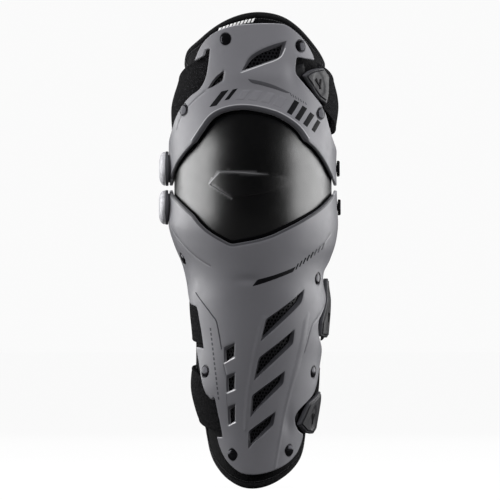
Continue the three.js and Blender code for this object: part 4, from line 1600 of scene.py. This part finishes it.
def node_span(node):
    """A CAD node's lowest and highest x, in working millimetres."""
    low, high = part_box(node)
    return (low.x - ORIGIN[0]) / MM, (high.x - ORIGIN[0]) / MM


def hinge_piece(kind, shape, place, profile, slot, material, segments=56, closed=False):
    """Turns the visible piece for one hinge node. Its profile starts at the node's inner side."""
    low, high = node_span(f"hinge_{kind}_{place}")
    level, side = place.split("_")
    axis_z = PIVOT_Z if level == "upper" else -PIVOT_Z
    start, way = (low, 1) if side == "right" else (high, -1)
    piece = lathe(f"hinge_{kind}_{shape}_{place}", profile(high - low), (start, 0, axis_z),
                  (way, 0, 0), segments, closed)
    finish(piece, "knee", slot, material, f"hinge_{kind}_{place}")


def bolt_right(top):
    """A bolt with a low round head and a hexagon socket."""
    head = 8.0
    return [
        (3.5, 0), (3.5, top - 3.0), (head - 0.3, top - 3.0), (head, top - 2.7),
        *arc_profile(head, top - 1.0, head - 1.6, top, 6),
        (3.6, top), (3.3, top - 0.25, 1), (3.2, top - 2.0, 1), (0.3, top - 2.3),
    ]


def bolt_left(top):
    """A plain flat head, under a cap."""
    return [(3.5, 0), (3.5, top - 2.6), (7.2, top - 2.6), (7.2, top - 0.4), (6.8, top), (0.3, top)]


def ring_profile(top):
    """A flat ring, with a collar behind it that reaches down to the shell."""
    radius = 17.4
    collar = 14.0
    hole = 8.0
    reach = 1.3
    return [
        (hole, -reach), (collar, -reach), (collar, 0), (radius - 0.5, 0), (radius, 0.5),
        (radius, top - 0.4), (radius - 0.4, top), (hole, top),
    ]


def cap_profile(top):
    """A domed cap with a sunk middle and a hexagon socket."""
    radius = 17.0
    return [
        (0.4, 0), (radius - 0.4, 0), (radius, 0.3), *arc_profile(radius, 0.6, radius * 0.42, top, 16),
        (radius * 0.38, top - 0.05), (radius * 0.34, top - 0.8), (3.6, top - 1.0),
        (3.3, top - 1.2, 1), (3.2, top - 3.0, 1), (0.4, top - 3.2),
    ]


def make_hinge(level):
    hinge_piece("bolt", "head", level + "_right", bolt_right, "dark_steel", STEEL)
    hinge_piece("bolt", "head", level + "_left", bolt_left, "dark_steel", STEEL)
    hinge_piece("ring", "plate", level + "_left", ring_profile, "charcoal_clip", CHARCOAL, 72, True)
    hinge_piece("cap", "dome", level + "_left", cap_profile, "grey_shell", GREY, 72)


# ---- vent meshes ----
CELL = 4.0  # from one cell of the vent mesh to the next
CELL_WIRE = 0.85  # half the width of the wire between them
MESH_FACES = (-3.7, -4.5)  # the mesh's front and back, as offsets from the shell's outside


def hexagon(u, v, reach):
    angles = [math.pi / 3 * k for k in range(6)]
    return [(u + reach * math.sin(angle), v + reach * math.cos(angle)) for angle in angles]


def make_vent_mesh(name, body, outline, node):
    """A perforated sheet of six-sided cells behind the vents."""
    low = outline.min(axis=0)
    high = outline.max(axis=0)
    corners = {}
    points = []

    def corner(u, v):
        key = (round(u, 1), round(v, 1))
        if key not in corners:
            corners[key] = len(points)
            points.append((u, v))
        return corners[key]

    centres = []
    row = 0
    v = low[1]
    while v < high[1]:
        u = low[0] + (row % 2) * CELL / 2
        while u < high[0]:
            centres.append((u, v))
            u += CELL
        v += CELL * math.sqrt(3) / 2
        row += 1
    centres = np.array(centres)
    centres = centres[depth_in(centres, outline) > CELL / 2]
    reach = CELL / math.sqrt(3)
    quads = []
    for u, v in centres:
        rim = [corner(*spot) for spot in hexagon(u, v, reach)]
        first = len(points)
        points += hexagon(u, v, reach - CELL_WIRE)
        for k in range(6):
            following = (k + 1) % 6
            quads.append((rim[following], rim[k], first + k, first + following))
    u, v = np.array(points).T
    count = len(points)
    faces = quads + [tuple(p + count for p in q[::-1]) for q in quads]
    directed = {(q[k], q[(k + 1) % 4]) for q in quads for k in range(4)}
    faces += [(b, a, a + count, b + count) for a, b in directed if (b, a) not in directed]
    piece = make_object(name, np.concatenate([leg(u, v, face) for face in MESH_FACES]), faces, None, 30)
    finish(piece, body, "vent_mesh", MESH, node)


def make_vent_meshes():
    thigh = fronts((-42, 99), (-38, 128), (-14, 144), (40, 152), (42, 126), (10, 110), (-16, 101))
    make_vent_mesh("thigh_vent_grille", "thigh", curve(thigh), "thigh_vent_mesh")
    shin = fronts(
        (58, -96), (58, -120), (48, -170), (32, -240), (20, -268), (-8, -268), (-26, -245),
        (-33, -158), (-10, -148), (14, -122), (42, -98),
    )
    make_vent_mesh("shin_vent_grille", "shin", curve(shin), "shin_vent_mesh")


# ---- buckles, catches and tabs ----
BUCKLE_STEP = (1.7, 2.9)  # from a buckle's edge, where its raised middle starts and is full
CATCH_LOW = -6.2
CATCH_HIGH = -4.4
TAB_HIGH = -1.4
BUCKLES = {
    # Each emblem is its x, z and size.
    "thigh_buckle": {
        "catch_body": "thigh", "emblem": (68, 104.5, 0.85),
        "outline": fronts((53.6, 112, 1.5), (58.5, 116.4, 3), (64, 118.8, 4), (72.4, 120.6, 1.5),
                          (78.4, 112, 3), (77.6, 91.5, 4), (75.8, 84.2, 1.5), (68.6, 89.6, 2)),
        "catch": fronts((42, 112, 2), (47, 122, 2), (57, 125.5, 2), (60.5, 104, 2), (54, 100, 2)),
    },
    "upper_calf_buckle": {
        "catch_body": "shin", "emblem": (77.5, -130, 0.8),
        "outline": flanks(1, (-9, -92, 2), (-18, -108, 2), (-32, -135, 2), (-31, -149, 2),
                          (0, -151, 3), (4, -138, 3), (4, -104, 3), (-1, -91, 1.5)),
        "catch": flanks(1, (-46, -104, 2), (-32, -104, 2), (-34, -126, 2), (-46, -126, 2)),
    },
    "lower_calf_buckle": {
        "catch_body": "shin", "emblem": (61.5, -232, 0.85),
        "outline": fronts((69.6, -204.8, 1.5), (72, -214.7, 3), (69, -239.6, 2), (67, -243.2, 2),
                          (62.2, -247.6, 2), (55.6, -246, 2), (48.6, -238, 2), (58.6, -216, 3)),
        "catch": fronts((36, -226, 2), (44.5, -219.5, 2), (52.5, -226, 2), (51, -246, 2),
                        (40, -246, 2)),
    },
}


def make_buckle(name, catch_body, outline, emblem, catch):
    path = curve(outline, 0.9)
    sheet = Sheet(path, [], [(shrunk(path, inset), True) for inset in BUCKLE_STEP], spacing=1.4)
    x, z, size = emblem
    u, v, _ = front(x, z)
    away = np.hypot((sheet.points[:, 0] - u) / 9, (sheet.points[:, 1] - v) / 14)
    height = 1.1 * ramp(sheet.edge, *BUCKLE_STEP) - 0.8 * ramp(-away, -1.0, -0.7)
    piece = plate(name + "_plate", leg, sheet, -WALL, 1.6, height)
    finish(piece, name, "charcoal_clip", CHARCOAL, name)
    # A plain pointed emblem: two strokes that meet.
    for k, lean in enumerate((-28, 24)):
        mark = Sheet(emblem_stroke(u, v, size, lean), spacing=1.2, rings=MARK_RINGS)
        raised = plate(f"{name}_emblem_{k + 1}", leg, mark, 1.0, 2.7, round_out=0.35, round_in=0.05)
        finish(raised, name, "charcoal_clip", INK)
    base = Sheet(curve(catch, 1.0), spacing=1.8)
    hook = 0.8 * ramp(base.edge, 1.5, 2.5)
    node = name.replace("_buckle", "_catch")
    piece = plate(node + "_block", leg, base, CATCH_LOW, CATCH_HIGH, hook, 0.7)
    finish(piece, catch_body, "charcoal_clip", INK, node)


def emblem_stroke(u, v, size, lean):
    """One stroke of a buckle's emblem, leaning from the point (u, v)."""
    turn = math.radians(lean)
    corners = [(-1.6, 5.5), (1.6, 6.5), (1.0, -6.5), (-0.2, -7.5)]
    return curve([
        (u + size * (a * math.cos(turn) + b * math.sin(turn)) + lean * 0.06,
         v + size * (b * math.cos(turn) - a * math.sin(turn)), 0.3) for a, b in corners
    ], 0.7)


TABS = {
    # Behind the leg: x from, x to, z from, z to.
    "thigh_strap_tab": ("thigh", -70, -38, 60, 96),
    "upper_calf_strap_tab": ("shin", -56, -28, -142, -106),
    "lower_calf_strap_tab": ("shin", -48, -22, -226, -188),
}


def make_tab(name, body, x0, x1, z0, z1):
    corners = fronts((x0, z0), (x1, z0), (x1, z1), (x0, z1))
    path = curve([(TURN / 2 - u, v, 6) for u, v, _ in corners])
    sheet = Sheet(path, spacing=1.8)
    ribs = 0.35 * np.sin(sheet.points[:, 0] * 2 * math.pi / 5) * ramp(sheet.edge, 3, 4.5)
    piece = plate(name + "_pull", leg, sheet, -WALL, TAB_HIGH, ribs, 0.8, 0.3)
    finish(piece, body, "charcoal_clip", CHARCOAL, name)
    stitches(name + "_stitches", body, leg, shrunk(path, 2.4), TAB_HIGH)


# ---- the CAD pieces that stay: bushes and nuts ----
def keep_hidden_hinge_parts():
    for name, node in frame["nodes"].items():
        if "bush" in name or "nut" in name:
            node.data.materials.clear()
            node.data.materials.append(STEEL)


# ---- stage: pale floor, soft light and the camera ----
LIGHT_AIM = (0, 0, 0.24)


def area_light(name, place, size, energy, glossy=False):
    data = bpy.data.lights.new(name, "AREA")
    data.shape = "RECTANGLE"
    data.size = size[0]
    data.size_y = size[1]
    data.energy = energy
    light = bpy.data.objects.new(name, data)
    light.location = place
    light.rotation_mode = "QUATERNION"
    light.rotation_quaternion = (Vector(LIGHT_AIM) - Vector(place)).to_track_quat("-Z", "Y")
    light.visible_glossy = glossy
    light.visible_camera = False
    bpy.context.scene.collection.objects.link(light)


def floor_material():
    """A pale matte floor, seen only from above."""
    b = Builder("pale_floor")
    rays = b.add("ShaderNodeLightPath").outputs["Is Camera Ray"]
    b.set(colour=(0.05, 0.05, 0.05), roughness=0.9, specular=0.0)
    b.shader.inputs["Emission Color"].default_value = (1, 1, 1, 1)
    b.feed(b.shader.inputs["Emission Strength"], b.maths("MULTIPLY", rays, 0.95))
    under = b.add("ShaderNodeNewGeometry").outputs["Backfacing"]
    b.feed(b.shader.inputs["Alpha"], b.maths("SUBTRACT", 1.0, under))
    return b.material


def studio_world():
    """White where the camera looks past the object, and dim in every reflection."""
    made = bpy.data.worlds.new("studio")
    made.use_nodes = True
    tree = made.node_tree
    background = tree.nodes["Background"]
    rays = tree.nodes.new("ShaderNodeLightPath")
    strength = tree.nodes.new("ShaderNodeMapRange")
    strength.inputs["To Min"].default_value = 0.02
    strength.inputs["To Max"].default_value = 0.96
    tree.links.new(rays.outputs["Is Camera Ray"], strength.inputs["Value"])
    tree.links.new(strength.outputs[0], background.inputs["Strength"])
    background.inputs["Color"].default_value = (1, 1, 1, 1)
    return made


def make_stage():
    scene = bpy.context.scene
    mesh = bpy.data.meshes.new("floor")
    reach = 12
    corners = [(-reach, -reach, 0), (reach, -reach, 0), (reach, reach, 0), (-reach, reach, 0)]
    mesh.from_pydata(corners, [], [(0, 1, 2, 3)])
    floor = bpy.data.objects.new("floor", mesh)
    scene.collection.objects.link(floor)
    mesh.materials.append(floor_material())
    scene.world = studio_world()

    area_light("left_softbox", (-1.14, 0.20, 0.32), (1.5, 1.3), 29, glossy=True)
    area_light("right_softbox", (1.14, 0.20, 0.32), (1.5, 1.3), 26, glossy=True)
    area_light("front_fill", (0.1, -2.2, 1.6), (1.6, 1.2), 29)
    area_light("top_light", (0.0, -0.5, 1.7), (1.6, 0.9), 20)
    area_light("back_fill", (0.0, 2.2, 1.2), (1.6, 1.2), 14)

    gap = 9.0  # metres from the camera to the front of the shells
    shell_plane = -0.075
    view_width = 0.5
    camera_data = bpy.data.cameras.new("camera")
    camera_data.sensor_width = 36
    camera_data.lens = camera_data.sensor_width * gap / view_width
    camera_data.clip_end = 50
    camera = bpy.data.objects.new("camera", camera_data)
    camera.location = (ORIGIN[0], ORIGIN[1] + shell_plane - gap, ORIGIN[2] - 62.5 * MM)
    camera.rotation_euler = (math.pi / 2, 0, 0)
    scene.collection.objects.link(camera)
    scene.camera = camera
    scene.view_settings.view_transform = "Standard"


make_marks(make_thigh_shell(), make_shin_shell())
make_cup()
make_shade_seal("thigh_edge_shade_seal", "thigh", ARCH)
make_shade_seal("shin_edge_shade_seal", "shin", VALLEY)
make_pads()
make_foam()
for strap_name, strap in STRAPS.items():
    make_strap(strap_name, **strap)
make_rivets("thigh", THIGH_RIVETS)
make_rivets("shin", SHIN_RIVETS)
for hinge_level in ("upper", "lower"):
    make_hinge(hinge_level)
make_vent_meshes()
for buckle_name, buckle in BUCKLES.items():
    make_buckle(buckle_name, **buckle)
for tab_name, tab in TABS.items():
    make_tab(tab_name, *tab)
keep_hidden_hinge_parts()
make_stage()
